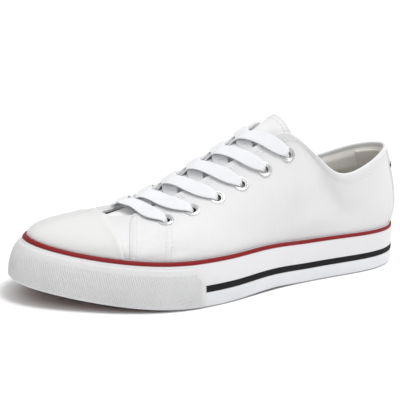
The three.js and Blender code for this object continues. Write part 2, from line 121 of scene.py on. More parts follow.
@dataclass(frozen=True)
class TopRow:
    """One station round the edge of the upper's opening."""

    turn: float
    side: float
    at: float
    height: float
    fall: float
    low: float
    high: float


SOLE_ROWS = (
    SoleRow(0.0, -0.058, 0.986, -0.058, 0.986, 0.0095, 0.0274, 0.0),
    SoleRow(0.053, 0.125, 0.957, -0.265, 0.96, 0.0085, 0.0274, 0.0),
    SoleRow(0.12, 0.334, 0.86, -0.424, 0.88, 0.007, 0.0278, 0.03),
    SoleRow(0.192, 0.503, 0.718, -0.468, 0.735, 0.005, 0.0296, 0.06),
    SoleRow(0.264, 0.49, 0.553, -0.4, 0.562, 0.004, 0.03, 0.06),
    SoleRow(0.332, 0.362, 0.378, -0.312, 0.378, 0.0032, 0.029, 0.08),
    SoleRow(0.399, 0.3, 0.2, -0.312, 0.2, 0.0022, 0.0285, 0.12),
    SoleRow(0.452, 0.225, 0.064, -0.232, 0.064, 0.0012, 0.028, 0.17),
    SoleRow(0.5, 0.005, 0.0, 0.005, 0.0, 0.001, 0.0278, 0.19),
)

TOP_ROWS = (
    TopRow(0.0, 0.0, 0.785, 0.518, 8, 0.12, 0.5),
    TopRow(0.06, 0.064, 0.775, 0.518, 12, 0.14, 0.48),
    TopRow(0.12, 0.108, 0.722, 0.525, 20, 0.24, 0.44),
    TopRow(0.192, 0.13, 0.65, 0.6, 32, 0.3, 0.42),
    TopRow(0.264, 0.145, 0.55, 0.735, 36, 0.32, 0.4),
    TopRow(0.325, 0.152, 0.43, 0.91, 38, 0.34, 0.38),
    TopRow(0.347, 0.165, 0.382, 0.98, 42, 0.37, 0.36),
    TopRow(0.362, 0.2, 0.35, 0.99, 52, 0.4, 0.35),
    TopRow(0.378, 0.242, 0.302, 0.885, 64, 0.4, 0.34),
    TopRow(0.405, 0.27, 0.228, 0.712, 78, 0.38, 0.33),
    TopRow(0.432, 0.24, 0.152, 0.725, 80, 0.37, 0.33),
    TopRow(0.466, 0.155, 0.076, 0.797, 80, 0.36, 0.33),
    TopRow(0.5, 0.0, 0.032, 0.83, 80, 0.36, 0.33),
)


def both_sides(rows: Sequence, lateral: Callable, medial: Callable | None = None) -> Loop:
    """One closed curve from a table whose rows describe both sides.

    Args:
        rows: the table, from toe to heel.
        lateral: picks the lateral value from a row.
        medial: picks the medial value from a row, where it isn't the lateral one.

    Returns:
        The curve over turn.
    """
    medial = medial or lateral
    back = list(rows[1:-1])[::-1]
    knots = [r.turn for r in rows] + [1 - r.turn for r in back]
    return Loop(knots, [lateral(r) for r in rows] + [medial(r) for r in back])


def mix(a: Array, b: Array, share: Array) -> Array:
    """The value a share of the way from a to b."""
    return a + (b - a) * share


def ease(value: Array, low: float, high: float) -> Array:
    """A smooth step from 0 at low to 1 at high."""
    t = np.clip((np.asarray(value, float) - low) / (high - low), 0, 1)
    return t * t * (3 - 2 * t)


def unit(vectors: Array) -> Array:
    """The vectors at length one."""
    return vectors / np.maximum(np.linalg.norm(vectors, axis=-1, keepdims=True), 1e-12)


def bell(value: Array, centre: float, width: float) -> Array:
    """A smooth hump of height 1 round a centre."""
    return np.exp(-(((value - centre) / width) ** 2))


def rounded(distance: Array, radius: float) -> Array:
    """The share of full thickness at a distance in from an edge rounded to a radius."""
    return np.sqrt(np.clip(1 - (1 - np.clip(distance / radius, 0, 1)) ** 2, 0, 1))


@dataclass
class Last:
    """The shoe's form: the strip's outline, the upper's ribs and the instep between the facings."""

    length: float = 0.285
    ball_width: float = 0.103
    instep_height: float = 0.1
    toe_spring: float = 0.013
    arch_rise: float = 0.001
    gap: float = 0.0003
    foxing_wall: float = 0.0025
    foxing_clear: float = 0.0006
    sole_heel: float = 0.012
    sole_forefoot: float = 0.009
    spring_start: float = 0.62
    spring_power: float = 1.8
    lean_power: float = 2.4
    waist: tuple[float, float] = (0.3, 0.75)
    arch_span: tuple[float, float] = (0.3, 0.55)
    crown: float = 0.0045
    eyelets_a_side: int = 6
    eyelet_inset: tuple[float, float] = (0.019, 0.0145)
    eyelet_at: tuple[float, float] = (0.677, 0.365)

    def __post_init__(self) -> None:
        """Makes the curves and stands the form where the frame stands."""
        width, length, tall = self.ball_width, self.length, self.instep_height

        def even(rows: Sequence, key: str, scale: float = 1.0) -> Loop:
            return both_sides(rows, lambda r: getattr(r, key) * scale)

        self.side = both_sides(SOLE_ROWS, lambda r: r.lateral * width, lambda r: r.medial * width)
        self.at = both_sides(SOLE_ROWS, lambda r: r.lateral_at * length, lambda r: r.medial_at * length)
        self.lean, self.tall, self.flare = (even(SOLE_ROWS, key) for key in ("lean", "tall", "flare"))
        self.top_side = both_sides(TOP_ROWS, lambda r: r.side * width, lambda r: -r.side * width)
        self.top_at, self.top_height = even(TOP_ROWS, "at", length), even(TOP_ROWS, "height", tall)
        self.fall = even(TOP_ROWS, "fall", math.pi / 180)
        self.low, self.high = even(TOP_ROWS, "low"), even(TOP_ROWS, "high")
        self.origin = np.zeros(3)
        turns = np.linspace(0, 1, 76, endpoint=False)
        edge = self.strip(turns, 0.0, 0.0)
        _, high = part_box("foxing")
        self.origin = np.array([edge[:, 0].max() - high.x, edge[:, 1].max() - high.y, 0.0])

    def rise(self, at: Array) -> Array:
        """Height of the tread above the floor."""
        share = np.asarray(at) / self.length
        lift = np.clip((share - self.spring_start) / (1 - self.spring_start), 0, None)
        low, high = self.arch_span
        waist = np.clip((share - low) / (high - low), 0, 1)
        return self.toe_spring * lift**self.spring_power + self.arch_rise * np.sin(np.pi * waist) ** 2

    def sole_top(self, at: Array) -> Array:
        """Height of the sole's upper face, under the insole."""
        depth = mix(self.sole_heel, self.sole_forefoot, ease(np.asarray(at) / self.length, *self.waist))
        return self.rise(at) + depth

    def strip(self, turn: Array, share: Array, out: Array) -> Array:
        """Points on the rubber strip's outer face.

        Args:
            turn: where round the shoe.
            share: height up the strip, from 0 to 1.
            out: distance outwards from the face.

        Returns:
            Points, with xyz on the last axis.
        """
        turn, share, out = np.broadcast_arrays(*(np.asarray(v, float) for v in (turn, share, out)))
        step = 1e-3
        dx = self.side(turn + step) - self.side(turn - step)
        da = self.at(turn + step) - self.at(turn - step)
        span = np.hypot(dx, da)
        offset = out - self.lean(turn) * np.clip(share, 0, None) ** self.lean_power
        base = self.at(turn)
        x = self.side(turn) - offset * da / span
        y = self.length / 2 - base - offset * dx / span
        z = self.rise(base) + mix(self.foxing_clear, self.tall(turn), share)
        return np.stack([x, y, z], -1) - self.origin

    def share_at(self, turn: Array, height: Array) -> Array:
        """Share of the strip's height at a height above the floor."""
        base = self.rise(self.at(turn)) + self.foxing_clear
        return np.clip((height - base) / (self.tall(turn) - self.foxing_clear), 0, None)

    def rib(self, turn: Array, up: Array) -> Array:
        """Points on the upper's outer face, from 0 at the strip's top to 1 at the opening's edge."""
        turn, up = np.broadcast_arrays(np.asarray(turn, float), np.asarray(up, float))
        foot = self.strip(turn, 1.0, -self.foxing_wall - self.gap)
        head = np.stack([self.top_side(turn), self.length / 2 - self.top_at(turn), self.top_height(turn)], -1)
        head = head - self.origin
        level = unit((foot - head) * [1, 1, 0])
        span = np.linalg.norm(foot - head, axis=-1, keepdims=True)
        lift = np.array([0, 0, 1.0])
        low = foot + level * self.flare(turn)[..., None] * span + lift * span * self.low(turn)[..., None]
        fall, reach = self.fall(turn)[..., None], span * self.high(turn)[..., None]
        high = head + level * np.cos(fall) * reach - lift * np.sin(fall) * reach
        t = up[..., None]
        s = 1 - t
        return s**3 * foot + 3 * s**2 * t * low + 3 * s * t**2 * high + t**3 * head

    def normal(self, turn: Array, up: Array) -> Array:
        """Outward directions of the upper's face."""
        turn, up = np.broadcast_arrays(np.asarray(turn, float), np.asarray(up, float))
        step = 2e-3
        climb = self.rib(turn, np.minimum(1, up + step)) - self.rib(turn, np.maximum(0, up - step))
        around = self.rib(turn + step, up) - self.rib(turn - step, up)
        return -unit(np.cross(climb, around))

    def face(self, turn: Array, up: Array, out: Array) -> Array:
        """Points a distance outwards from the upper's face."""
        return self.rib(turn, up) + self.normal(turn, up) * np.asarray(out, float)[..., None]

    def station(self, points: Array) -> Array:
        """How far along the shoe each point is, from the back of the heel."""
        return self.length / 2 - (points[..., 1] + self.origin[1])

    def inset_up(self, turn: float, inset: float) -> float:
        """Share up the rib that lies an inset below the opening's edge."""
        ups = np.linspace(1, 0.2, 400)
        points = self.rib(turn, ups)
        return float(np.interp(inset, np.linalg.norm(points - points[0], axis=-1), ups))

    def edge_turn(self, at: float, medial: bool) -> float:
        """The turn at which the facing's edge reaches a station."""
        turns = np.linspace(0.1, 0.375, 600)
        turn = float(np.interp(-at, -self.top_at(turns), turns))
        return 1 - turn if medial else turn

    def instep(self, at: float, across: float, out: float) -> Array:
        """A point between the facings: across runs from -1 at the medial edge to 1 at the lateral."""
        lateral = self.face(self.edge_turn(at, False), 1.0, out)
        medial = self.face(self.edge_turn(at, True), 1.0, out)
        point = mix(medial, lateral, (1 + across) / 2)
        point[2] += self.crown * (1 - across * across)
        return point

    def eyelet(self, index: int, medial: bool) -> tuple[float, float, float]:
        """Where an eyelet sits, as its station, turn and share up the rib."""
        share = index / (self.eyelets_a_side - 1)
        at = self.length * mix(*self.eyelet_at, share)
        inset = mix(*self.eyelet_inset, share)
        sides = np.linspace(0.1, 0.375, 120)
        turns = 1 - sides if medial else sides
        ups = np.array([self.inset_up(t, inset) for t in turns])
        reached = self.station(self.rib(turns, ups))
        turn = float(np.interp(-at, -reached, turns))
        return at, turn, self.inset_up(turn, inset)


# ---------------------------------------------------------------- meshes


def rework(mesh: bpy.types.Mesh, *steps: Callable[[bmesh.types.BMesh], object]) -> None:
    """Runs editing steps on a mesh and leaves it smooth."""
    bm = bmesh.new()
    bm.from_mesh(mesh)
    for step in steps:
        step(bm)
    bm.to_mesh(mesh)
    bm.free()
    mesh.shade_smooth()


def turn_outwards(bm: bmesh.types.BMesh) -> None:
    """Flips a closed mesh whose faces point inwards."""
    if bm.calc_volume(signed=True) < 0:
        bmesh.ops.reverse_faces(bm, faces=bm.faces)


def drop_loose(bm: bmesh.types.BMesh) -> None:
    """Deletes the corners that no face uses."""
    bmesh.ops.delete(bm, geom=[v for v in bm.verts if not v.link_faces], context="VERTS")


def link(name: str, data: bpy.types.ID) -> bpy.types.Object:
    """A new object in the scene for a mesh, light or camera, at the origin."""
    piece = bpy.data.objects.new(name, data)
    bpy.context.scene.collection.objects.link(piece)
    return piece


def solid(name: str, points: Array, faces: list, uv: Array | None = None) -> bpy.types.Object:
    """A smooth closed mesh whose faces point outwards.

    Args:
        name: the piece's name.
        points: its corners.
        faces: tuples of corner numbers.
        uv: weave coordinates in metres, one for each point.

    Returns:
        The new object, at the origin.
    """
    mesh = bpy.data.meshes.new(name)
    mesh.from_pydata(np.asarray(points, float).tolist(), [], faces)
    if uv is not None:
        layer = mesh.uv_layers.new(name="cloth")
        corners = np.empty(len(mesh.loops), dtype=np.int32)
        mesh.loops.foreach_get("vertex_index", corners)
        layer.data.foreach_set("uv", np.asarray(uv, np.float32)[corners].ravel())
    rework(
        mesh,
        lambda bm: bmesh.ops.remove_doubles(bm, verts=bm.verts, dist=SAME_POINT),
        lambda bm: bmesh.ops.dissolve_degenerate(bm, edges=bm.edges, dist=SAME_POINT),
        turn_outwards,
    )
    return link(name, mesh)


def quads(rows: int, cols: int, ring: bool = False, loop: bool = True) -> Array:
    """Corner numbers of a grid's quads, by row and column.

    Args:
        rows: rows of points.
        cols: points in a row.
        ring: whether the last row joins the first.
        loop: whether the last column joins the first.

    Returns:
        Four corners for each quad.
    """
    r = np.arange(rows if ring else rows - 1)[:, None]
    c = np.arange(cols if loop else cols - 1)[None, :]
    far, over = (r + 1) % rows, (c + 1) % cols
    return np.stack([r * cols + c, r * cols + over, far * cols + over, far * cols + c], -1)


def slab(
    name: str,
    outer: Array,
    inner: Array,
    uv: Array | None = None,
    loop: bool = False,
    gone: Array | None = None,
) -> bpy.types.Object:
    """A closed sheet between an outer and an inner grid of points.

    Args:
        name: the piece's name.
        outer: rows and columns of points on the face.
        inner: the points behind them.
        uv: weave coordinates of the grid.
        loop: whether the last column joins the first.
        gone: quads left out, where a hole goes through.

    Returns:
        The new object.
    """
    rows, cols = outer.shape[:2]
    count = rows * cols
    grid = quads(rows, cols, loop=loop)
    sheet = (grid if gone is None else grid[~gone]).reshape(-1, 4).tolist()
    edges = dict.fromkeys((a, b) for quad in sheet for a, b in zip(quad, quad[1:] + quad[:1]))
    rims = [(b, a, a + count, b + count) for a, b in edges if (b, a) not in edges]
    faces = [tuple(quad) for quad in sheet] + [tuple(v + count for v in quad[::-1]) for quad in sheet] + rims
    points = np.concatenate([outer.reshape(-1, 3), inner.reshape(-1, 3)])
    flat = None if uv is None else np.concatenate([uv.reshape(-1, 2)] * 2)
    piece = solid(name, points, faces, flat)
    rework(piece.data, drop_loose)
    return piece


def tube(name: str, sections: Array, uv: Array | None = None, ring: bool = False) -> bpy.types.Object:
    """A closed bar or ring through equal section loops, its ends filled.

    Args:
        name: the piece's name.
        sections: points by section and place in the loop.
        uv: weave coordinates in the same layout.
        ring: whether the last section joins the first.

    Returns:
        The new object.
    """
    rows, cols = sections.shape[:2]
    faces = quads(rows, cols, ring=ring).reshape(-1, 4).tolist()
    if not ring:
        faces += [tuple(range(cols))[::-1], tuple(range((rows - 1) * cols, rows * cols))]
    flat = None if uv is None else uv.reshape(-1, 2)
    return solid(name, sections.reshape(-1, 3), faces, flat)


def smooth_line(points: Array, count: int) -> Array:
    """The points run through by one smooth curve at even steps.

    Args:
        points: columns to be smoothed together, the first three of them a place.
        count: how many points come out.

    Returns:
        The new points.
    """
    points = np.asarray(points, float)
    steps = np.linalg.norm(np.diff(points[:, :3], axis=0), axis=1) ** 0.5
    knots = np.concatenate([[0], np.cumsum(np.maximum(steps, 1e-6))])
    slopes = np.gradient(points, knots, axis=0)
    fine = np.linspace(0, knots[-1], count * 4)
    i = np.clip(np.searchsorted(knots, fine, side="right") - 1, 0, len(knots) - 2)
    span = (knots[i + 1] - knots[i])[:, None]
    t = (fine[:, None] - knots[i][:, None]) / span
    path = (
        (2 * t**3 - 3 * t**2 + 1) * points[i]
        + (t**3 - 2 * t**2 + t) * span * slopes[i]
        + (3 * t**2 - 2 * t**3) * points[i + 1]
        + (t**3 - t**2) * span * slopes[i + 1]
    )
    run = np.concatenate([[0], np.cumsum(np.linalg.norm(np.diff(path[:, :3], axis=0), axis=1))])
    even = np.linspace(0, run[-1], count)
    return np.stack([np.interp(even, run, path[:, k]) for k in range(path.shape[1])], -1)


def length_along(points: Array, axis: int = 0) -> Array:
    """Distance run along an axis of a grid of points, starting at 0."""
    steps = np.linalg.norm(np.diff(points, axis=axis), axis=-1)
    start = np.zeros_like(np.take(steps, [0], axis=axis))
    return np.concatenate([start, np.cumsum(steps, axis=axis)], axis=axis)


class Wiring:
    """Adds nodes to a tree, with their inputs filled or linked."""

    def __init__(self, tree: bpy.types.NodeTree) -> None:
        """Takes the tree that is being wired."""
        self.tree = tree

    def fill(self, node: bpy.types.Node, inputs: dict) -> bpy.types.Node:
        """Sets a node's inputs, by name or number, to values or sockets."""
        for key, value in inputs.items():
            if isinstance(value, bpy.types.NodeSocket):
                self.tree.links.new(value, node.inputs[key])
            else:
                node.inputs[key].default_value = value
        return node

    def add(self, kind: str, inputs: dict | None = None, **settings: object) -> bpy.types.Node:
        """Adds a node.

        Args:
            kind: the node's type.
            inputs: values or sockets for its inputs.
            settings: its own properties.

        Returns:
            The node.
        """
        node = self.tree.nodes.new(kind)
        for key, value in settings.items():
            setattr(node, key, value)
        return self.fill(node, inputs or {})


class Tree(Wiring):
    """A Geometry Nodes tree with named inputs, grown on a piece and made a plain mesh."""

    def __init__(self, name: str, sizes: dict[str, float], material: bpy.types.Material) -> None:
        """Starts the tree.

        Args:
            name: the tree's name.
            sizes: its named inputs, in metres.
            material: the material that it ends with.
        """
        super().__init__(bpy.data.node_groups.new(name, "GeometryNodeTree"))
        self.sizes = sizes
        self.material = material
        face = self.tree.interface
        face.new_socket("Geometry", in_out="INPUT", socket_type="NodeSocketGeometry")
        self.keys = {
            key: face.new_socket(key, in_out="INPUT", socket_type="NodeSocketFloat").identifier
            for key in sizes
        }
        face.new_socket("Geometry", in_out="OUTPUT", socket_type="NodeSocketGeometry")
        self.enter = self.tree.nodes.new("NodeGroupInput").outputs

    def circle(self, resolution: int, radius: bpy.types.NodeSocket) -> bpy.types.NodeSocket:
        """A circle as a curve."""
        inputs = {"Resolution": resolution, "Radius": radius}
        return self.add("GeometryNodeCurvePrimitiveCircle", inputs, mode="RADIUS").outputs[0]

    def sweep(
        self, path: bpy.types.NodeSocket, profile: bpy.types.NodeSocket, caps: bool = False
    ) -> bpy.types.NodeSocket:
        """A mesh swept by a profile along a path."""
        inputs = {"Curve": path, "Profile Curve": profile, "Fill Caps": caps}
        return self.add("GeometryNodeCurveToMesh", inputs).outputs[0]

    def stand(self, shape: bpy.types.NodeSocket) -> bpy.types.NodeSocket:
        """Copies of a shape on the piece's points, each turned to its point's facing."""
        facing = self.add("GeometryNodeInputNamedAttribute", {"Name": "facing"}, data_type="FLOAT_VECTOR")
        turn = self.add("FunctionNodeAlignRotationToVector", {"Vector": facing.outputs[0]}, axis="Z")
        inputs = {"Points": self.enter["Geometry"], "Instance": shape, "Rotation": turn.outputs[0]}
        return self.add("GeometryNodeInstanceOnPoints", inputs).outputs[0]

    def grow(self, piece: bpy.types.Object, shape: bpy.types.NodeSocket) -> bpy.types.Object:
        """Ends the tree, runs it on a piece and keeps the result as the piece's mesh.

        Args:
            piece: the object that it starts from.
            shape: the socket that holds the finished instances.

        Returns:
            The same object with its new mesh.
        """
        real = self.add("GeometryNodeRealizeInstances", {"Geometry": shape}).outputs[0]
        smooth = self.add("GeometryNodeSetShadeSmooth", {"Geometry": real}).outputs[0]
        dressed = self.add("GeometryNodeSetMaterial", {"Geometry": smooth, "Material": self.material})
        self.add("NodeGroupOutput", {0: dressed.outputs[0]})
        modifier = piece.modifiers.new("grow", "NODES")
        modifier.node_group = self.tree
        for key, identifier in self.keys.items():
            modifier[identifier] = float(self.sizes[key])
        bpy.context.view_layer.update()
        graph = bpy.context.evaluated_depsgraph_get()
        mesh = bpy.data.meshes.new_from_object(piece.evaluated_get(graph), depsgraph=graph)
        piece.modifiers.remove(modifier)
        piece.data = mesh
        mesh.name = piece.name
        return piece


def marks(name: str, points: Array, facing: Array | None = None, lines: bool = False) -> bpy.types.Object:
    """Loose points or lines for a tree to work on.

    Args:
        name: the object's name.
        points: places, or a list of lines of places.
        facing: a direction at each point.
        lines: whether the points are lists that run as lines.

    Returns:
        An object with no faces.
    """
    mesh = bpy.data.meshes.new(name)
    if lines:
        starts = np.cumsum([0] + [len(line) for line in points])
        edges = [(i, i + 1) for a, b in zip(starts, starts[1:]) for i in range(a, b - 1)]
        mesh.from_pydata(np.concatenate(points).tolist(), edges, [])
    else:
        mesh.from_pydata(np.asarray(points).tolist(), [], [])
    if facing is not None:
        layer = mesh.attributes.new("facing", "FLOAT_VECTOR", "POINT")
        layer.data.foreach_set("vector", np.asarray(facing, np.float32).ravel())
    return link(name, mesh)


def place(piece: bpy.types.Object, slot: str, *nodes: str) -> bpy.types.Object:
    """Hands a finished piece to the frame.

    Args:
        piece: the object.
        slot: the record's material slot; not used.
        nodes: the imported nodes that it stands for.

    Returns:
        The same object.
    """
    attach(piece, "root")
    if nodes:
        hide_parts(*nodes)
    LOG.info("%s: %d faces", piece.name, len(piece.data.polygons))
    return piece


# ---------------------------------------------------------------- finishes


class Shade(Wiring):
    """Short hands for wiring shader nodes."""

    def sum(self, operation: str, *values: object) -> bpy.types.NodeSocket:
        """The result of a Math node on the values."""
        return self.add("ShaderNodeMath", dict(enumerate(values)), operation=operation).outputs[0]

    def blend(self, share: object, low: tuple, high: tuple) -> bpy.types.NodeSocket:
        """A colour between two, by a share."""
        inputs = {0: share, 6: (*low, 1.0), 7: (*high, 1.0)}
        return self.add("ShaderNodeMix", inputs, data_type="RGBA").outputs[2]

    def bump(self, height: object, distance: float, strength: float) -> bpy.types.NodeSocket:
        """Facings roughened by a height."""
        inputs = {"Height": height, "Distance": distance, "Strength": strength}
        return self.add("ShaderNodeBump", inputs).outputs[0]

    def effect(self, name: str, inputs: dict) -> bpy.types.NodeOutputs:
        """The results of a shared effect."""
        return self.add("ShaderNodeGroup", inputs, node_tree=Effects.get(name)).outputs

    def noise(self, vector: object, scale: object, detail: float = 4.0) -> bpy.types.NodeSocket:
        """Soft noise from 0 to 1."""
        values = {"Vector": vector, "Scale": scale, "Detail": detail, "Roughness": 0.55}
        return self.add("ShaderNodeTexNoise", values).outputs[0]

    def ramp(self, value: object, low: float, high: float) -> bpy.types.NodeSocket:
        """A smooth share from 0 at low to 1 at high."""
        values = {0: value, 1: low, 2: high, 3: 0.0, 4: 1.0}
        return self.add("ShaderNodeMapRange", values, interpolation_type="SMOOTHSTEP").outputs[0]


def shader_group(name: str, inputs: dict[str, object], outputs: Sequence[str]) -> tuple:
    """A new shader node group that puts out plain numbers.

    Args:
        name: its name.
        inputs: socket names and default values; a triple makes a vector.
        outputs: socket names.

    Returns:
        The wiring hand, the group's input sockets, and the node that takes its results.
    """
    group = bpy.data.node_groups.new(name, "ShaderNodeTree")
    for key, value in inputs.items():
        kind = "NodeSocketVector" if isinstance(value, tuple) else "NodeSocketFloat"
        socket = group.interface.new_socket(key, in_out="INPUT", socket_type=kind)
        if not isinstance(value, tuple):
            socket.default_value = value
    for key in outputs:
        group.interface.new_socket(key, in_out="OUTPUT", socket_type="NodeSocketFloat")
    shade = Shade(group)
    return shade, shade.add("NodeGroupInput").outputs, shade.add("NodeGroupOutput")


def weave_group() -> bpy.types.ShaderNodeTree:
    """Plain weave: the crowns of the threads, with uneven yarn, and painted shade in the gaps between them."""
    shade, enter, leave = shader_group(
        "woven cloth", {"Vector": (0, 0, 0), "Pitch": 0.0006, "Slub": 0.3}, ("Height", "Gap Shade", "Streak")
    )
    wobble = shade.noise(enter["Vector"], 900.0, 2.0)
    nudge = shade.sum("MULTIPLY", wobble, enter["Slub"])
    parts = shade.add("ShaderNodeSeparateXYZ", {0: enter["Vector"]}).outputs
    warp, weft = (
        shade.sum(
            "SINE",
            shade.sum(
                "MULTIPLY", shade.sum("ADD", shade.sum("DIVIDE", part, enter["Pitch"]), nudge), math.pi
            ),
        )
        for part in parts[:2]
    )
    crown = shade.sum("POWER", shade.sum("ABSOLUTE", shade.sum("MULTIPLY", warp, weft)), 0.6)
    squeeze = shade.add("ShaderNodeMapping", {"Vector": enter["Vector"], "Scale": (900.0, 45.0, 1.0)})
    streak = shade.noise(squeeze.outputs[0], 1.0, 2.0)
    # Gap Shade is painted shade: it is highest in the gaps between the thread crowns
    shade.fill(leave, {"Height": crown, "Gap Shade": shade.sum("SUBTRACT", 1.0, crown), "Streak": streak})
    return shade.tree


def soil_group() -> bpy.types.ShaderNodeTree:
    """Faint dust: patchy all over and stronger near the floor."""
    shade, enter, leave = shader_group(
        "dust", {"Vector": (0, 0, 0), "Size": 30.0, "Floor": 0.02}, ("Patches", "Low")
    )
    patches = shade.ramp(shade.noise(enter["Vector"], enter["Size"], 6.0), 0.4, 0.75)
    height = shade.add("ShaderNodeSeparateXYZ", {0: enter["Vector"]}).outputs[2]
    near = shade.sum("SUBTRACT", 1.0, shade.sum("DIVIDE", height, enter["Floor"]))
    low = shade.sum("MULTIPLY", shade.sum("MAXIMUM", near, 0.0), shade.sum("ADD", patches, 0.35))
    shade.fill(leave, {"Patches": patches, "Low": low})
    return shade.tree


def grain_group() -> bpy.types.ShaderNodeTree:
    """The fine skin of moulded rubber, with slow unevenness."""
    shade, enter, leave = shader_group(
        "rubber skin", {"Vector": (0, 0, 0), "Size": 2500.0}, ("Height", "Wave")
    )
    fine = shade.noise(enter["Vector"], enter["Size"], 3.0)
    shade.fill(leave, {"Height": fine, "Wave": shade.noise(enter["Vector"], 60.0, 3.0)})
    return shade.tree


class Effects:
    """The shader groups that the finishes share, each built once."""

    made: dict[str, bpy.types.ShaderNodeTree] = {}

    @classmethod
    def get(cls, name: str) -> bpy.types.ShaderNodeTree:
        """The group of a name, built when first asked for."""
        if name not in cls.made:
            cls.made[name] = {"weave": weave_group, "soil": soil_group, "grain": grain_group}[name]()
        return cls.made[name]


def start_material(name: str) -> tuple[bpy.types.Material, Shade, bpy.types.Node]:
    """A new material, its wiring hand and its shader."""
    material = bpy.data.materials.new(name)
    material.use_nodes = True
    shade = Shade(material.node_tree)
    shade.tree.nodes.clear()
    skin = shade.add("ShaderNodeBsdfPrincipled")
    shade.add("ShaderNodeOutputMaterial", {0: skin.outputs[0]})
    return material, shade, skin


@dataclass(frozen=True)
class Cloth:
    """A woven finish: canvas, lace cotton, lining or binding tape."""

    name: str
    face: tuple[float, float, float]
    # deep: the darker colour reached by painted shade in the thread gaps, by uneven yarn and by dust
    deep: tuple[float, float, float]
    pitch: float = 0.00062
    relief: float = 0.00012
    rough: float = 0.92
    sheen: float = 0.12
    # gaps: strength of the painted shade in the gaps between threads
    gaps: float = 0.45
    streaks: float = 0.28
    dusty: float = 0.1
    on_surface: bool = True

    def material(self) -> bpy.types.Material:
        """The finish as a material."""
        material, shade, skin = start_material(self.name)
        coords = shade.add("ShaderNodeTexCoord").outputs
        vector = coords["UV"] if self.on_surface else coords["Object"]
        weave = shade.effect("weave", {"Vector": vector, "Pitch": self.pitch})
        soil = shade.effect("soil", {"Vector": coords["Object"]})
        # painted shade in the thread gaps, uneven yarn streaks and dust darken the face towards deep
        gaps = shade.sum("MULTIPLY", weave["Gap Shade"], self.gaps)
        streaks = shade.sum("MULTIPLY", weave["Streak"], self.streaks)
        dust = shade.sum("MULTIPLY", soil["Patches"], self.dusty)
        share = shade.sum("ADD", shade.sum("ADD", gaps, streaks), dust)
        look = {
            "Base Color": shade.blend(share, self.face, self.deep),
            "Normal": shade.bump(weave["Height"], self.relief, 0.7),
            "Roughness": self.rough,
            "Sheen Weight": self.sheen,
            "Sheen Roughness": 0.5,
            "Specular IOR Level": 0.25,
        }
        shade.fill(skin, look)
        return material


@dataclass(frozen=True)
class Rubber:
    """A moulded or rolled rubber finish."""

    name: str
    face: tuple[float, float, float]
    worn: tuple[float, float, float]
    rough: float = 0.55
    grain: float = 2600.0
    relief: float = 0.00004
    dusty: float = 0.3
    uneven: float = 0.16

    def material(self) -> bpy.types.Material:
        """The finish as a material."""
        material, shade, skin = start_material(self.name)
        coords = shade.add("ShaderNodeTexCoord").outputs["Object"]
        grain = shade.effect("grain", {"Vector": coords, "Size": self.grain})
        soil = shade.effect("soil", {"Vector": coords})
        low = shade.sum("MULTIPLY", soil["Low"], self.dusty)
        wave = shade.sum("MULTIPLY", grain["Wave"], 0.25)
        uneven = shade.sum("MULTIPLY", grain["Wave"], self.uneven)
        look = {
            "Base Color": shade.blend(shade.sum("ADD", low, wave), self.face, self.worn),
            "Roughness": shade.sum("ADD", uneven, self.rough - self.uneven / 2),
            "Normal": shade.bump(grain["Height"], self.relief, 0.6),
            "Specular IOR Level": 0.35,
        }
        shade.fill(skin, look)
        return material


@dataclass(frozen=True)
class Metal:
    """Plated metal with fine scratches."""

    name: str
    face: tuple[float, float, float]
    worn: tuple[float, float, float]
    rough: float = 0.2

    def material(self) -> bpy.types.Material:
        """The finish as a material."""
        material, shade, skin = start_material(self.name)
        coords = shade.add("ShaderNodeTexCoord").outputs["Object"]
        scratches = shade.noise(coords, 1800.0, 3.0)
        look = {
            "Base Color": shade.blend(shade.ramp(scratches, 0.45, 0.8), self.face, self.worn),
            "Roughness": shade.sum("ADD", shade.sum("MULTIPLY", scratches, 0.15), self.rough),
            "Metallic": 1.0,
        }
        shade.fill(skin, look)
        return material


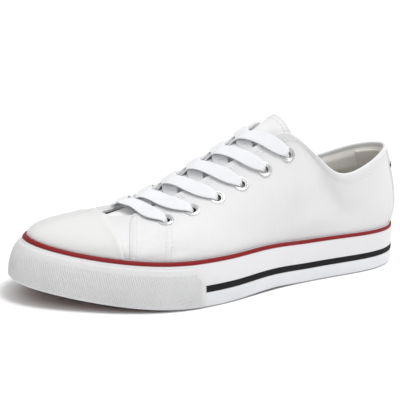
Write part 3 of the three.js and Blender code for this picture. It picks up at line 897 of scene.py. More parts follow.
class Finish(Enum):
    """Every finish on the shoe."""

    CANVAS = Cloth("white canvas", (0.785, 0.785, 0.79), (0.64, 0.64, 0.65))
    TONGUE = Cloth("tongue canvas", (0.87, 0.87, 0.87), (0.72, 0.72, 0.73))
    THREAD = Cloth("white thread", (0.84, 0.84, 0.84), (0.6, 0.6, 0.6), pitch=0.0003, on_surface=False)
    LACE = Cloth("lace cotton", (0.84, 0.85, 0.865), (0.67, 0.69, 0.715), pitch=0.00085, relief=0.0002)
    LINING = Cloth("lining cotton", (0.95, 0.94, 0.91), (0.8, 0.77, 0.72), pitch=0.0005)
    HEEL_LINING = Cloth("heel lining", (0.84, 0.81, 0.77), (0.68, 0.64, 0.59), pitch=0.0004)
    TAB = Cloth("dark tape", (0.03, 0.032, 0.04), (0.012, 0.012, 0.016), pitch=0.0005)
    INSOLE = Cloth("insole cloth", (0.42, 0.39, 0.33), (0.25, 0.23, 0.19), pitch=0.0006)
    FOXING = Rubber("white foxing rubber", (0.72, 0.72, 0.73), (0.55, 0.55, 0.57), rough=0.5)
    WELT = Rubber("lower foxing rubber", (0.74, 0.755, 0.78), (0.54, 0.55, 0.58), rough=0.5)
    BUMPER = Rubber("toe bumper rubber", (0.67, 0.67, 0.675), (0.5, 0.5, 0.51), rough=0.55)
    CAP = Rubber("toe cap rubber", (0.69, 0.69, 0.685), (0.57, 0.565, 0.55), rough=0.42, relief=0.00002)
    RED = Rubber("red stripe rubber", (0.215, 0.003, 0.006), (0.16, 0.005, 0.008), rough=0.55, dusty=0.1)
    BLACK = Rubber("black stripe rubber", (0.001, 0.001, 0.002), (0.003, 0.003, 0.004), rough=0.8, dusty=0.1)
    TREAD = Rubber("tread rubber", (0.17, 0.07, 0.035), (0.12, 0.055, 0.03), rough=0.7)
    NICKEL = Metal("bright nickel", (0.72, 0.72, 0.72), (0.4, 0.4, 0.41))

    def __init__(self, recipe: Cloth | Rubber | Metal) -> None:
        """Keeps the recipe."""
        self.recipe = recipe

    def material(self) -> bpy.types.Material:
        """The material, made when first asked for."""
        known = bpy.data.materials.get(self.recipe.name)
        return known or self.recipe.material()

    def place(self, piece: bpy.types.Object, slot: str, *nodes: str) -> bpy.types.Object:
        """Gives the finish to a piece and hands it to the frame, as place does."""
        piece.data.materials.append(self.material())
        return place(piece, slot, *nodes)


# ---------------------------------------------------------------- the sole


@dataclass
class Sole:
    """Outsole with its tread, foxing with its stripes, toe bumper and insole."""

    last: Last
    steps: int = 304
    tread_bevel: float = 0.0016
    lug_height: float = 0.0014
    lug_pitch: float = 0.0068
    lug_rows: float = 0.62
    lug_radius: float = 0.0027
    lug_tip: float = 0.0023
    lug_rim: float = 0.0045
    lug_margin: float = 0.003
    lug_clear: float = 0.00003
    bumper_end: float = 0.237
    bumper_corner: float = 0.014
    bumper_wall: float = 0.0012
    bumper_span: tuple[float, float] = (0.05, 0.86)
    rib_pitch: float = 0.0014
    rib_height: float = 0.0004
    rib_lean: float = 0.007
    red: tuple[float, float] = (0.924, 1.005)
    black: tuple[float, float] = (0.32, 0.468)
    stripe_proud: float = 0.0003
    insole_thickness: float = 0.0035
    wall: float = 0.0018

    def turns(self) -> Array:
        """Even turns round the shoe."""
        return np.linspace(0, 1, self.steps, endpoint=False)

    def build(self) -> list[bpy.types.Object]:
        """Makes and places every piece of the sole."""
        return [self.tread(), self.lugs(), *self.foxing(), self.bumper(), self.ribs(), self.insole()]

    def level_ring(self, out: float, lift: Callable, turns: Array) -> Array:
        """A ring of points set in from the strip, at a height that follows the shoe."""
        at = self.last.at(turns)
        point = self.last.strip(turns, self.last.share_at(turns, lift(at)), out)
        point[:, 2] = lift(self.last.station(point))
        return point

    def plate(self, name: str, rings: list[Array], cloth: bool = False, across: int = 12) -> bpy.types.Object:
        """A closed plate through rings, with both faces filled by rungs from side to side.

        Args:
            name: the piece's name.
            rings: rings from the lower face's edge to the upper face's edge.
            cloth: whether it gets weave coordinates.
            across: points along each rung.

        Returns:
            The new object.
        """
        count = len(rings[0])
        half = count // 2
        points = list(np.concatenate(rings))
        faces = quads(len(rings), count).reshape(-1, 4).tolist()
        for base in (0, (len(rings) - 1) * count):
            rows = [[base] * across]
            for i in range(1, half):
                a, b = base + i, base + count - i
                first = len(points)
                inside = np.linspace(0, 1, across)[1:-1, None]
                points.extend(np.array(points[a]) * (1 - inside) + np.array(points[b]) * inside)
                rows.append([a, *range(first, first + across - 2), b])
            rows.append([base + half] * across)
            for row, after in zip(rows, rows[1:]):
                for j in range(across - 1):
                    loop = dict.fromkeys((row[j], row[j + 1], after[j + 1], after[j]))
                    quad = tuple(loop) if base == 0 else tuple(loop)[::-1]
                    faces.append(quad)
        points = np.array(points)
        piece = solid(name, points, faces, points[:, :2] if cloth else None)
        rework(piece.data, lambda bm: bmesh.ops.recalc_face_normals(bm, faces=bm.faces))
        return piece

    def tread(self) -> bpy.types.Object:
        """The outsole's body, its lower face raised to the foot of the lugs."""
        last, turns = self.last, self.turns()
        inside = -last.foxing_wall - last.gap
        under = lambda at: last.rise(at) + self.lug_height - 0.0003  # noqa: E731
        low = lambda at: last.rise(at) + self.lug_height + 0.0008  # noqa: E731
        piece = self.plate(
            "outsole_body",
            [
                self.level_ring(inside - self.tread_bevel, under, turns),
                self.level_ring(inside - 0.0004, low, turns),
                self.level_ring(inside - last.gap, last.sole_top, turns),
            ],
        )
        return Finish.TREAD.place(piece, "outsole_rubber", "outsole")

    def lugs(self) -> bpy.types.Object:
        """Tread lugs in staggered rows, with a plain rim round them."""
        last, pitch = self.last, self.lug_pitch
        rim = self.level_ring(-last.foxing_wall - self.lug_rim, last.rise, self.turns())
        half = len(rim) // 2
        lateral, medial = rim[: half + 1], rim[half:][::-1]
        height = lambda x, y: float(last.rise(last.station(np.array([x, y, 0.0]))))  # noqa: E731
        widest, step = 0.06, 0.002
        spots, facing = [], []
        rows = np.arange(rim[:, 1].min() + 0.004, rim[:, 1].max() - 0.003, pitch * self.lug_rows)
        for k, y in enumerate(rows):
            right = np.interp(y, lateral[:, 1], lateral[:, 0]) - self.lug_margin
            left = np.interp(y, medial[:, 1], medial[:, 0]) + self.lug_margin
            for x in np.arange(-widest + (pitch / 2 if k % 2 else 0.0), widest, pitch):
                if left < x < right:
                    spots.append((x, y, height(x, y) + self.lug_clear))
                    facing.append((0, (height(x, y - step) - height(x, y)) / step, 1.0))
        piece = marks("outsole_lugs", np.array(spots), unit(np.array(facing)))
        sizes = {"Radius": self.lug_radius, "Tip": self.lug_tip, "Height": self.lug_height}
        tree = Tree("tread lugs", sizes, Finish.TREAD.material())
        inputs = {
            "Vertices": 6,
            "Radius Top": tree.enter["Radius"],
            "Radius Bottom": tree.enter["Tip"],
            "Depth": tree.enter["Height"],
        }
        tree.grow(piece, tree.stand(tree.add("GeometryNodeMeshCone", inputs).outputs[0]))
        piece.data.shade_flat()
        return place(piece, "outsole_rubber")

    def band(
        self, name: str, span: tuple[float, float], proud: float, start: float = 0.0, end: float = 1.0
    ) -> bpy.types.Object:
        """A thin rubber strip laid round the foxing, its edges eased.

        Args:
            name: the piece's name.
            span: lowest and highest share of the foxing's height.
            proud: how far it stands out.
            start: the turn where it starts, or 0 for a whole ring.
            end: the turn where it ends.

        Returns:
            The new object.
        """
        whole = end - start >= 1
        turns = self.turns() if whole else np.linspace(start, end, self.steps)
        low, high = span
        edge = (high - low) * 0.14
        outside = [(low, 0.0), (low + edge * 0.3, 0.7), (low + edge, 1.0), ((low + high) / 2, 1.08)]
        outside += [(high - edge, 1.0), (high - edge * 0.3, 0.7), (high, 0.0)]
        loop = [(share, proud * out) for share, out in outside] + [(high, -0.0009), (low, -0.0005)]
        sections = np.stack([self.last.strip(turns, share, out) for share, out in loop], 1)
        return tube(name, sections, ring=whole)

    def foxing(self) -> list[bpy.types.Object]:
        """The foxing wound round the sole, with its red top line and its black line."""
        last, turns = self.last, self.turns()
        wall = last.foxing_wall
        loop = [(0.0, -0.0005), (0.012, -0.0001), (0.04, 0.0), (0.2, 0.00005), (0.28, 0.00005)]
        loop += [(0.29, -0.00012), (0.3, 0.0), (0.5, 0.0001), (0.7, 0.0001), (0.87, 0.0), (0.97, 0.0)]
        loop += [(0.99, -0.0003), (1.0, -0.0008), (1.0, -wall + 0.0004)]
        loop += [(0.985, -wall), (0.5, -wall), (0.0, -wall)]
        sections = np.stack([last.strip(turns, share, out) for share, out in loop], 1)
        body = tube("foxing_strip", sections, ring=True)
        start = self.bumper_end - 0.001
        lower = self.band("foxing_lower_band", (0.015, 0.3), 0.00025)
        red = self.band("foxing_red_line", self.red, self.stripe_proud)
        black = self.band("foxing_black_line", self.black, self.stripe_proud, start, 1 - start)
        return [
            Finish.FOXING.place(body, "foxing_rubber", "foxing"),
            Finish.WELT.place(lower, "foxing_rubber"),
            Finish.RED.place(red, "foxing_rubber"),
            Finish.BLACK.place(black, "foxing_rubber"),
        ]

    def bumper_top(self, turn: Array) -> Array:
        """The share of the foxing's height that the bumper reaches, rounded down at its ends."""
        return mix(0.5, 1, rounded(self.bumper_end - np.abs(turn), self.bumper_corner)) * self.bumper_span[1]

    def bumper(self) -> bpy.types.Object:
        """The thick strip round the toe, under its ribs."""
        end = self.bumper_end
        ease_in = end - self.bumper_corner * (1 - np.sin(np.linspace(0, np.pi / 2, 16)))
        turns = np.concatenate([-ease_in[::-1], np.linspace(-ease_in[0], ease_in[0], 220)[1:-1], ease_in])
        low = self.bumper_span[0]
        base, lip = 0.00005, 0.03
        sections = []
        for turn in turns:
            top = float(self.bumper_top(turn))
            fade = float(np.clip((end - abs(turn)) / 0.0035, 0, 1)) ** 0.5
            wall = self.bumper_wall * (0.35 + 0.65 * fade) + base
            loop = [(low, base), (low, wall * 0.6), (low + lip * 0.4, wall * 0.9), (low + lip, wall)]
            loop += [(mix(low, top, s), wall) for s in (0.25, 0.5, 0.75)]
            loop += [(top - lip, wall), (top - lip * 0.4, wall * 0.9), (top, wall * 0.6), (top, base)]
            loop += [(top, -0.0006), (mix(low, top, 0.5), -0.0006), (low, -0.0006)]
            sections.append(np.stack([self.last.strip(turn, s, o) for s, o in loop]))
        piece = tube("toe_bumper_strip", np.array(sections))
        return Finish.BUMPER.place(piece, "bumper_rubber", "toe_bumper")

    def ribs(self) -> bpy.types.Object:
        """Fine slanted ribs on the bumper, under its smooth upper margin."""
        last, end = self.last, self.bumper_end
        fine = np.linspace(-end - 0.02, end + 0.02, 1200)
        run = length_along(last.strip(fine, 0.5, 0.0))
        shares = np.linspace(self.bumper_span[0] + 0.03, self.bumper_span[1] - 0.13, 9)
        height = (shares - 0.45) / 0.4
        lines = []
        for k in range(int(run[-1] / self.rib_pitch)):
            turns = np.interp(k * self.rib_pitch - self.rib_lean * 0.5 * height, run, fine)
            room = (np.abs(turns) < end - 0.0045) & (shares < self.bumper_top(turns) - 0.1)
            if room.sum() < 3:
                continue
            lines.append(last.strip(turns[room], shares[room], self.bumper_wall - 0.00006))
        piece = marks("toe_bumper_ribs", lines, lines=True)
        tree = Tree("bumper ribs", {"Rib": self.rib_height}, Finish.BUMPER.material())
        path = tree.add("GeometryNodeMeshToCurve", {"Mesh": tree.enter["Geometry"]}).outputs[0]
        shape = tree.sweep(path, tree.circle(6, tree.enter["Rib"]), caps=True)
        return place(tree.grow(piece, shape), "bumper_rubber")

    def insole(self) -> bpy.types.Object:
        """The footbed, dished a little under the foot."""
        last, turns = self.last, self.turns()
        inset = -last.foxing_wall - self.wall - 3 * last.gap
        lift = lambda extra: lambda at: last.sole_top(at) + extra  # noqa: E731
        rings = [
            self.level_ring(inset - 0.001, lift(last.gap), turns),
            self.level_ring(inset - 0.0002, lift(0.0012), turns),
            self.level_ring(inset, lift(self.insole_thickness + 0.0004), turns),
            self.level_ring(inset - 0.0015, lift(self.insole_thickness + 0.0008), turns),
            self.level_ring(inset - 0.006, lift(self.insole_thickness), turns),
        ]
        return Finish.INSOLE.place(self.plate("insole_bed", rings, cloth=True), "insole_cloth", "insole")


# ---------------------------------------------------------------- the upper


@dataclass(frozen=True)
class Crease:
    """A soft fold line on the upper, from one place to another, in turn and share up the rib."""

    start: tuple[float, float]
    end: tuple[float, float]
    depth: float
    width: float


CREASES = (
    Crease((0.168, 0.2), (0.19, 0.46), 0.0007, 0.0035),
    Crease((0.185, 0.12), (0.215, 0.4), -0.0005, 0.005),
    Crease((0.205, 0.1), (0.235, 0.34), 0.0006, 0.0045),
    Crease((0.15, 0.3), (0.165, 0.52), 0.0005, 0.003),
    Crease((0.24, 0.2), (0.3, 0.3), 0.0004, 0.007),
    Crease((0.33, 0.25), (0.38, 0.5), 0.0006, 0.008),
    Crease((0.405, 0.3), (0.44, 0.62), 0.0005, 0.008),
    Crease((0.46, 0.15), (0.475, 0.6), -0.0004, 0.007),
    Crease((0.832, 0.2), (0.81, 0.46), 0.0007, 0.0035),
    Crease((0.81, 0.12), (0.78, 0.38), 0.0006, 0.0045),
    Crease((0.76, 0.2), (0.7, 0.32), 0.0004, 0.007),
    Crease((0.67, 0.25), (0.62, 0.5), 0.0006, 0.008),
    Crease((0.595, 0.3), (0.56, 0.62), 0.0005, 0.008),
)


@dataclass
class Upper:
    """The canvas shell: vamp, quarters, collar, lining and heel strip."""

    last: Last
    columns: int = 420
    rows: int = 56
    shell: float = 0.001
    quarter: float = 0.0008
    wall: float = 0.0018
    front_foot: float = 0.158
    front_top: float = 0.1135
    hole: float = 0.0031
    heel_half: float = 0.012
    patch_half: float = 0.022
    front_round: float = 0.0009
    roll: float = 0.0016
    eyelets: list = field(default_factory=list)

    def __post_init__(self) -> None:
        """Finds the eyelets."""
        last = self.last
        self.eyelets = [
            (medial, index, *last.eyelet(index, medial))
            for medial in (False, True)
            for index in range(last.eyelets_a_side)
        ]
        self.centres = np.array([last.rib(turn, up) for _, _, _, turn, up in self.eyelets])
        self.axes = np.array([last.normal(turn, up) for _, _, _, turn, up in self.eyelets])

    def build(self) -> list[bpy.types.Object]:
        """Makes and places every piece of the upper."""
        return [self.base(), self.quarter_panel(False), self.quarter_panel(True), self.inside(), *self.heel()]

    def soft(self, turn: Array, up: Array) -> Array:
        """How far the soft creases move the face outwards."""
        turn, up = np.broadcast_arrays(turn, up)
        points = self.last.rib(turn, up)
        moved = np.zeros(turn.shape)
        for fold in CREASES:
            a = self.last.rib(*(np.array(v) for v in fold.start))
            b = self.last.rib(*(np.array(v) for v in fold.end))
            line = b - a
            share = np.clip(((points - a) @ line) / (line @ line), -0.5, 1.5)
            near = points - (a + share[..., None] * line)
            gap = np.linalg.norm(near, axis=-1) / fold.width
            fade = ease(share, -0.35, 0.3) * (1 - ease(share, 0.7, 1.35))
            moved += fade * fold.depth * (0.45 * bell(gap, 1.9, 1) - bell(gap, 0, 1))
        slack = 0.0003 * np.sin(turn * 46 + 3 * up) * np.sin(up * 7 + 9 * turn)
        settle = ease(up, 0.03, 0.16) * (1 - ease(up, 0.84, 0.98))
        return (moved + slack) * settle

    def cloth(self, turn: Array, up: Array, out: float | Array) -> Array:
        """Points a distance out from the creased face."""
        return self.last.face(turn, up, self.soft(turn, up) + out)

    def hem(self, turn: Array, middle: float, radius: float, sweep: Array) -> Array:
        """Points round the folded edge of the opening, from outside over the top to inside."""
        edge = self.last.rib(turn, np.ones_like(turn))
        climb = unit(edge - self.last.rib(turn, np.full_like(turn, 0.985)))
        side = self.last.normal(turn, np.ones_like(turn))
        return edge + side * middle + climb * radius * math.sin(sweep) + side * radius * math.cos(sweep)

    def bored(self, points: Array, radius: float) -> tuple[Array, Array]:
        """Opens round holes at the eyelets in a grid.

        Args:
            points: the grid's points on the face.
            radius: the holes' radius.

        Returns:
            How far each point moves, and which quads go.
        """
        shift = np.zeros_like(points)
        inside = np.zeros(points.shape[:2], bool)
        for centre, axis in zip(self.centres, self.axes):
            away = points - centre
            flat = away - (away @ axis)[..., None] * axis
            reach = np.linalg.norm(flat, axis=-1)
            near = (reach < radius) & (np.abs(away @ axis) < 0.006)
            inside |= near
            grow = np.where(near, radius / np.maximum(reach, 1e-5) - 1, 0)
            shift += flat * grow[..., None]
        return shift, inside

    @staticmethod
    def quads_gone(inside: Array, loop: bool) -> Array:
        """The quads whose four corners all lie in a hole."""
        over = np.roll(inside, -1, axis=1)
        gone = inside[:-1] & inside[1:] & over[:-1] & over[1:]
        return gone if loop else gone[:, :-1]

    def weave(self, points: Array) -> Array:
        """Weave coordinates in metres: along the shoe, and up from the sole."""
        round_run = length_along(points[points.shape[0] // 3][None], axis=1)[0]
        up_run = length_along(points, axis=0)
        return np.stack([np.broadcast_to(round_run, up_run.shape), up_run], -1)

    def base(self) -> bpy.types.Object:
        """The vamp and the ground cloth under the quarters, in one ring."""
        last = self.last
        turns = np.linspace(0, 1, self.columns, endpoint=False)
        ups = np.linspace(0, 1, self.rows)
        turn, up = np.meshgrid(turns, ups)
        face = self.cloth(turn, up, 0.0)
        back = last.face(turn, up, -self.shell)
        wall = -last.foxing_wall - last.gap
        skirt, skirt_back = (
            [last.strip(turns, s, out) for s in (0.45, 0.75)] for out in (wall, wall - self.shell)
        )
        shift, inside = self.bored(face, self.hole)
        face, back = face + shift, back + shift
        half = self.shell / 2
        caps = [self.hem(turns, -half, half, a) for a in np.linspace(0, np.pi / 2, 6)[1:]]
        cap_back = [self.hem(turns, -half, half, np.pi - a) for a in np.linspace(0, np.pi / 2, 6)[1:-1]]
        cap_back.append(self.hem(turns, -half, half * 0.98, np.pi / 2))
        outer = np.concatenate([np.array(skirt), face, np.array(caps)])
        inner = np.concatenate([np.array(skirt_back), back, np.array(cap_back)])
        grown = np.zeros(outer.shape[:2], bool)
        grown[len(skirt) : len(skirt) + len(ups)] = inside
        gone = self.quads_gone(grown, True)
        piece = slab("upper_vamp", outer, inner, self.weave(outer), loop=True, gone=gone)
        return Finish.CANVAS.place(piece, "canvas", "upper")

    def front(self, up: Array) -> Array:
        """The turn of the quarter's front edge at each share up the rib."""
        return mix(self.front_foot, self.front_top, np.asarray(up) ** 2.2)

    def quarter_panel(self, medial: bool) -> bpy.types.Object:
        """One quarter: a panel laid over the vamp, its front edge free and its collar edge folded over.

        Args:
            medial: whether it is the inner side's.

        Returns:
            The placed piece.
        """
        last = self.last
        ups = np.linspace(0.0, 1, self.rows)
        spread = np.linspace(0, 1, self.columns // 2)
        across = np.concatenate([[0, 0.0006, 0.0014, 0.0026], spread[1:] * 0.994 + 0.006])
        front = self.front(ups)[:, None]
        turn = mix(front, 0.5, across[None, :])
        up = np.broadcast_to(ups[:, None], turn.shape)
        side = 1 - turn if medial else turn
        face = last.rib(side, up)
        run = length_along(face, axis=1)
        rounding = rounded(run, self.front_round)
        soft = self.soft(side, up)
        normal = last.normal(side, up)
        outer = face + normal * (soft + self.quarter * rounding)[..., None]
        inner = face + normal * (soft - 0.00035)[..., None]
        shift, inside = self.bored(face, self.hole)
        outer, inner = outer + shift, inner + shift
        edge_side = side[-1]
        middle = (self.quarter - self.wall - 0.0001) / 2
        radius = self.quarter - middle
        round_front = rounding[-1][:, None]
        rim, rim_back = [], []
        for sweep in np.linspace(0, np.pi, 13)[1:]:
            arc = self.hem(edge_side, middle, radius, sweep)
            core = self.hem(edge_side, middle, 0.0005, sweep)
            rim.append(mix(core, arc, 0.25 + 0.75 * round_front))
            rim_back.append(core)
        for drop in (0.97, 0.93):
            level = np.full_like(edge_side, drop)
            rim.append(last.face(edge_side, level, np.full_like(edge_side, -self.wall - 0.00015)))
            rim_back.append(last.face(edge_side, level, np.full_like(edge_side, -self.wall + 0.0004)))
        outer = np.concatenate([outer, np.array(rim)])
        inner = np.concatenate([inner, np.array(rim_back)])
        grown = np.zeros(outer.shape[:2], bool)
        grown[: len(ups)] = inside
        name = "quarter_medial" if medial else "quarter_lateral"
        piece = slab(name, outer, inner, self.weave(outer), gone=self.quads_gone(grown, False))
        return Finish.CANVAS.place(piece, "canvas")

    def inside(self) -> bpy.types.Object:
        """The cotton lining, with its soft roll round the ankle."""
        last = self.last
        turns = np.linspace(0, 1, 300, endpoint=False)
        ups = np.concatenate([np.linspace(-0.02, 0.6, 18), np.linspace(0.62, 0.985, 26)])
        turn, up = np.meshgrid(turns, np.clip(ups, 0, 1))
        ankle = ease(turn, 0.34, 0.39) * (1 - ease(turn, 0.61, 0.66))
        padding = self.roll * ankle * ease(up, 0.6, 0.74) * (1 - ease(up, 0.86, 0.985))
        seam = 0.0006 * ankle * bell(up, 0.58, 0.02)
        outer = last.face(turn, up, -self.shell - 0.00005 + 0 * up)
        inner = last.face(turn, up, -self.wall - padding + seam)
        shift, inside = self.bored(last.rib(turn, up), self.hole)
        gone = self.quads_gone(inside, True)
        piece = slab("upper_lining", inner + shift, outer + shift, self.weave(inner), loop=True, gone=gone)
        return Finish.LINING.place(piece, "canvas")

    def strip_grid(
        self, half: float, low: float, high: float, out: float, deep: float, across: int = 25
    ) -> tuple[Array, Array]:
        """A patch centred on the heel.

        Args:
            half: half its width.
            low: its lowest share up the rib.
            high: its highest share up the rib.
            out: how far its face stands out.
            deep: how far out its back lies.
            across: columns.

        Returns:
            The outer and the inner grid.
        """
        last = self.last
        ups = np.linspace(low, high, 40)
        around = np.linspace(0.42, 0.58, 161)
        rows, backs = [], []
        for up in ups:
            line = last.rib(around, np.full_like(around, up))
            run = length_along(line)
            run -= np.interp(0.5, around, run)
            wanted = half * np.sin(np.linspace(-np.pi / 2, np.pi / 2, across))
            turns = np.interp(wanted, run, around)
            soft = self.soft(turns, np.full_like(turns, up))
            edge = rounded(half - np.abs(wanted), 0.0008)
            rows.append(last.face(turns, np.full_like(turns, up), soft + mix(deep + 0.0002, out, edge)))
            backs.append(last.face(turns, np.full_like(turns, up), soft + deep))
        return np.array(rows), np.array(backs)

    def heel(self) -> list[bpy.types.Object]:
        """The strip over the back seam, its small loop of dark tape, and the smooth lining behind the heel."""
        out, back, half = self.quarter, -self.wall, self.heel_half
        strip = self.strip_grid(half, 0.0, 0.97, out + 0.0008, out - 0.0004)
        tab = self.strip_grid(half - 0.0006, 0.735, 0.785, out + 0.0013, out + 0.0004, across=17)
        patch = self.strip_grid(self.patch_half, 0.05, 0.93, back - 0.0018, back + 0.0003, across=41)
        return [
            Finish.CANVAS.place(slab("heel_strip", *strip, self.weave(strip[0])), "canvas"),
            Finish.TAB.place(slab("heel_loop", *tab, self.weave(tab[0])), "canvas"),
            Finish.HEEL_LINING.place(slab("heel_lining", *patch[::-1], self.weave(patch[0])), "canvas"),
        ]

    def seams(self) -> list[Array]:
        """Lines of stitching on the quarters, heel strip and collar."""
        last = self.last
        lines = []
        out = self.quarter + 0.00012

        def line(turns: Array, ups: Array, lift: float = out) -> Array:
            soft = self.soft(turns, ups)
            return last.face(turns, ups, soft + lift)

        def inset(turns: Array, depth: float) -> Array:
            return np.array([last.inset_up(float(t), depth) for t in turns])

        for medial in (False, True):
            side = (lambda t: 1 - t) if medial else (lambda t: t)
            ups = np.linspace(0.02, 0.97, 60)
            for step in (0.0022, 0.0042):
                turns = self.front(ups)
                ahead = last.rib(side(turns + 0.004), ups) - last.rib(side(turns), ups)
                speed = np.linalg.norm(ahead, axis=-1) / 0.004
                lines.append(line(side(turns + step / speed), ups))
            edge = np.linspace(self.front_top + 0.012, 0.485, 150)
            for depth in (0.0032, 0.0055):
                turns = side(edge)
                lines.append(line(turns, inset(turns, depth)))
            first = self.eyelets[last.eyelets_a_side * medial]
            ups = np.linspace(0.04, first[4] - 0.1, 40)
            for step in (-0.003, 0.003):
                turns = np.full_like(ups, first[3]) + (-1 if medial else 1) * (0.006 + step)
                lines.append(line(turns, ups))
        for half in (-1, 1):
            for depth in (0.0018, 0.0038):
                ups = np.linspace(0.02, 0.95, 50)
                turns = np.full_like(ups, 0.5)
                width = half * (self.heel_half - depth)
                speed = np.linalg.norm(last.rib(turns + 0.01, ups) - last.rib(turns, ups), axis=-1) / 0.01
                lines.append(line(turns + width / speed, ups, out + 0.0008))
        return lines


@dataclass
class ToeCap:
    """The smooth rubber cap over the toes."""

    last: Last
    back: float = 0.782
    sweep: float = 0.01
    wall: float = 0.0013
    edge_round: float = 0.0014
    reach: float = 0.19
    columns: int = 180
    rows: int = 60

    def back_up(self, turn: float) -> float:
        """Share up the rib at which the cap's rear edge crosses it."""
        ups = np.linspace(0, 1, 300)
        points = self.last.rib(np.full_like(ups, turn), ups)
        across = (points[:, 0] + self.last.origin[0]) / self.last.ball_width
        edge = self.last.length * (self.back + self.sweep * (2 * across) ** 2)
        past = self.last.station(points) - edge
        behind = np.nonzero(past < 0)[0]
        if len(behind) == 0:
            return 1.0
        i = behind[0]
        if i == 0:
            return 0.0
        return float(np.interp(0, [past[i], past[i - 1]], [ups[i], ups[i - 1]]))

    def build(self) -> bpy.types.Object:
        """Makes and places the cap, its rear edge rounded down to the vamp."""
        last = self.last
        fine = np.linspace(-self.reach, self.reach, 121)
        ends = np.array([self.back_up(t % 1) for t in fine])
        live = ends > 0.004
        limit = (fine[live].min(), fine[live].max())
        turns = np.linspace(*limit, self.columns)
        tops = np.interp(turns, fine, ends)
        tops = np.maximum(np.minimum(tops, 0.995), 0.004)
        shares = np.concatenate([np.linspace(0, 0.93, self.rows), 1 - 0.07 * np.linspace(0.86, 0, 9) ** 1.5])
        share, turn = np.meshgrid(shares, turns, indexing="ij")
        up = share * tops[None, :]
        face = last.rib(turn, up)
        normal = last.normal(turn, up)
        run = length_along(face, axis=0)
        to_edge = run[-1:] - run
        rounding = rounded(to_edge, self.edge_round)
        swell = 0.0004 * bell(to_edge, 0.004, 0.003)
        outer = face + normal * (0.0002 + self.wall * rounding + swell)[..., None]
        inner = face - normal * 0.0003
        piece = slab("toe_cap_rubber", outer, inner)
        return Finish.CAP.place(piece, "cap_rubber", "toe_cap")


@dataclass(frozen=True)
class TongueRow:
    """One section of the tongue: how it leaves the instep's line, and how far its sides bow forward."""

    at: float
    forward: float
    climb: float
    width: float
    crown: float
    bow: float = 0.0


TONGUE_ROWS = (
    *(TongueRow(at, 0, 0, 1, 1) for at in (0.7, 0.65, 0.6, 0.55, 0.49, 0.43, 0.4)),
    TongueRow(0.375, 0, 0, 1, 1),
    TongueRow(0.375, -0.0032, 0.002, 1, 1.08, 0.0012),
    TongueRow(0.375, -0.006, 0.0036, 0.98, 1.12, 0.0028),
    TongueRow(0.375, -0.008, 0.0047, 0.93, 1.12, 0.0044),
    TongueRow(0.375, -0.0091, 0.0052, 0.8, 1.08, 0.0053),
)


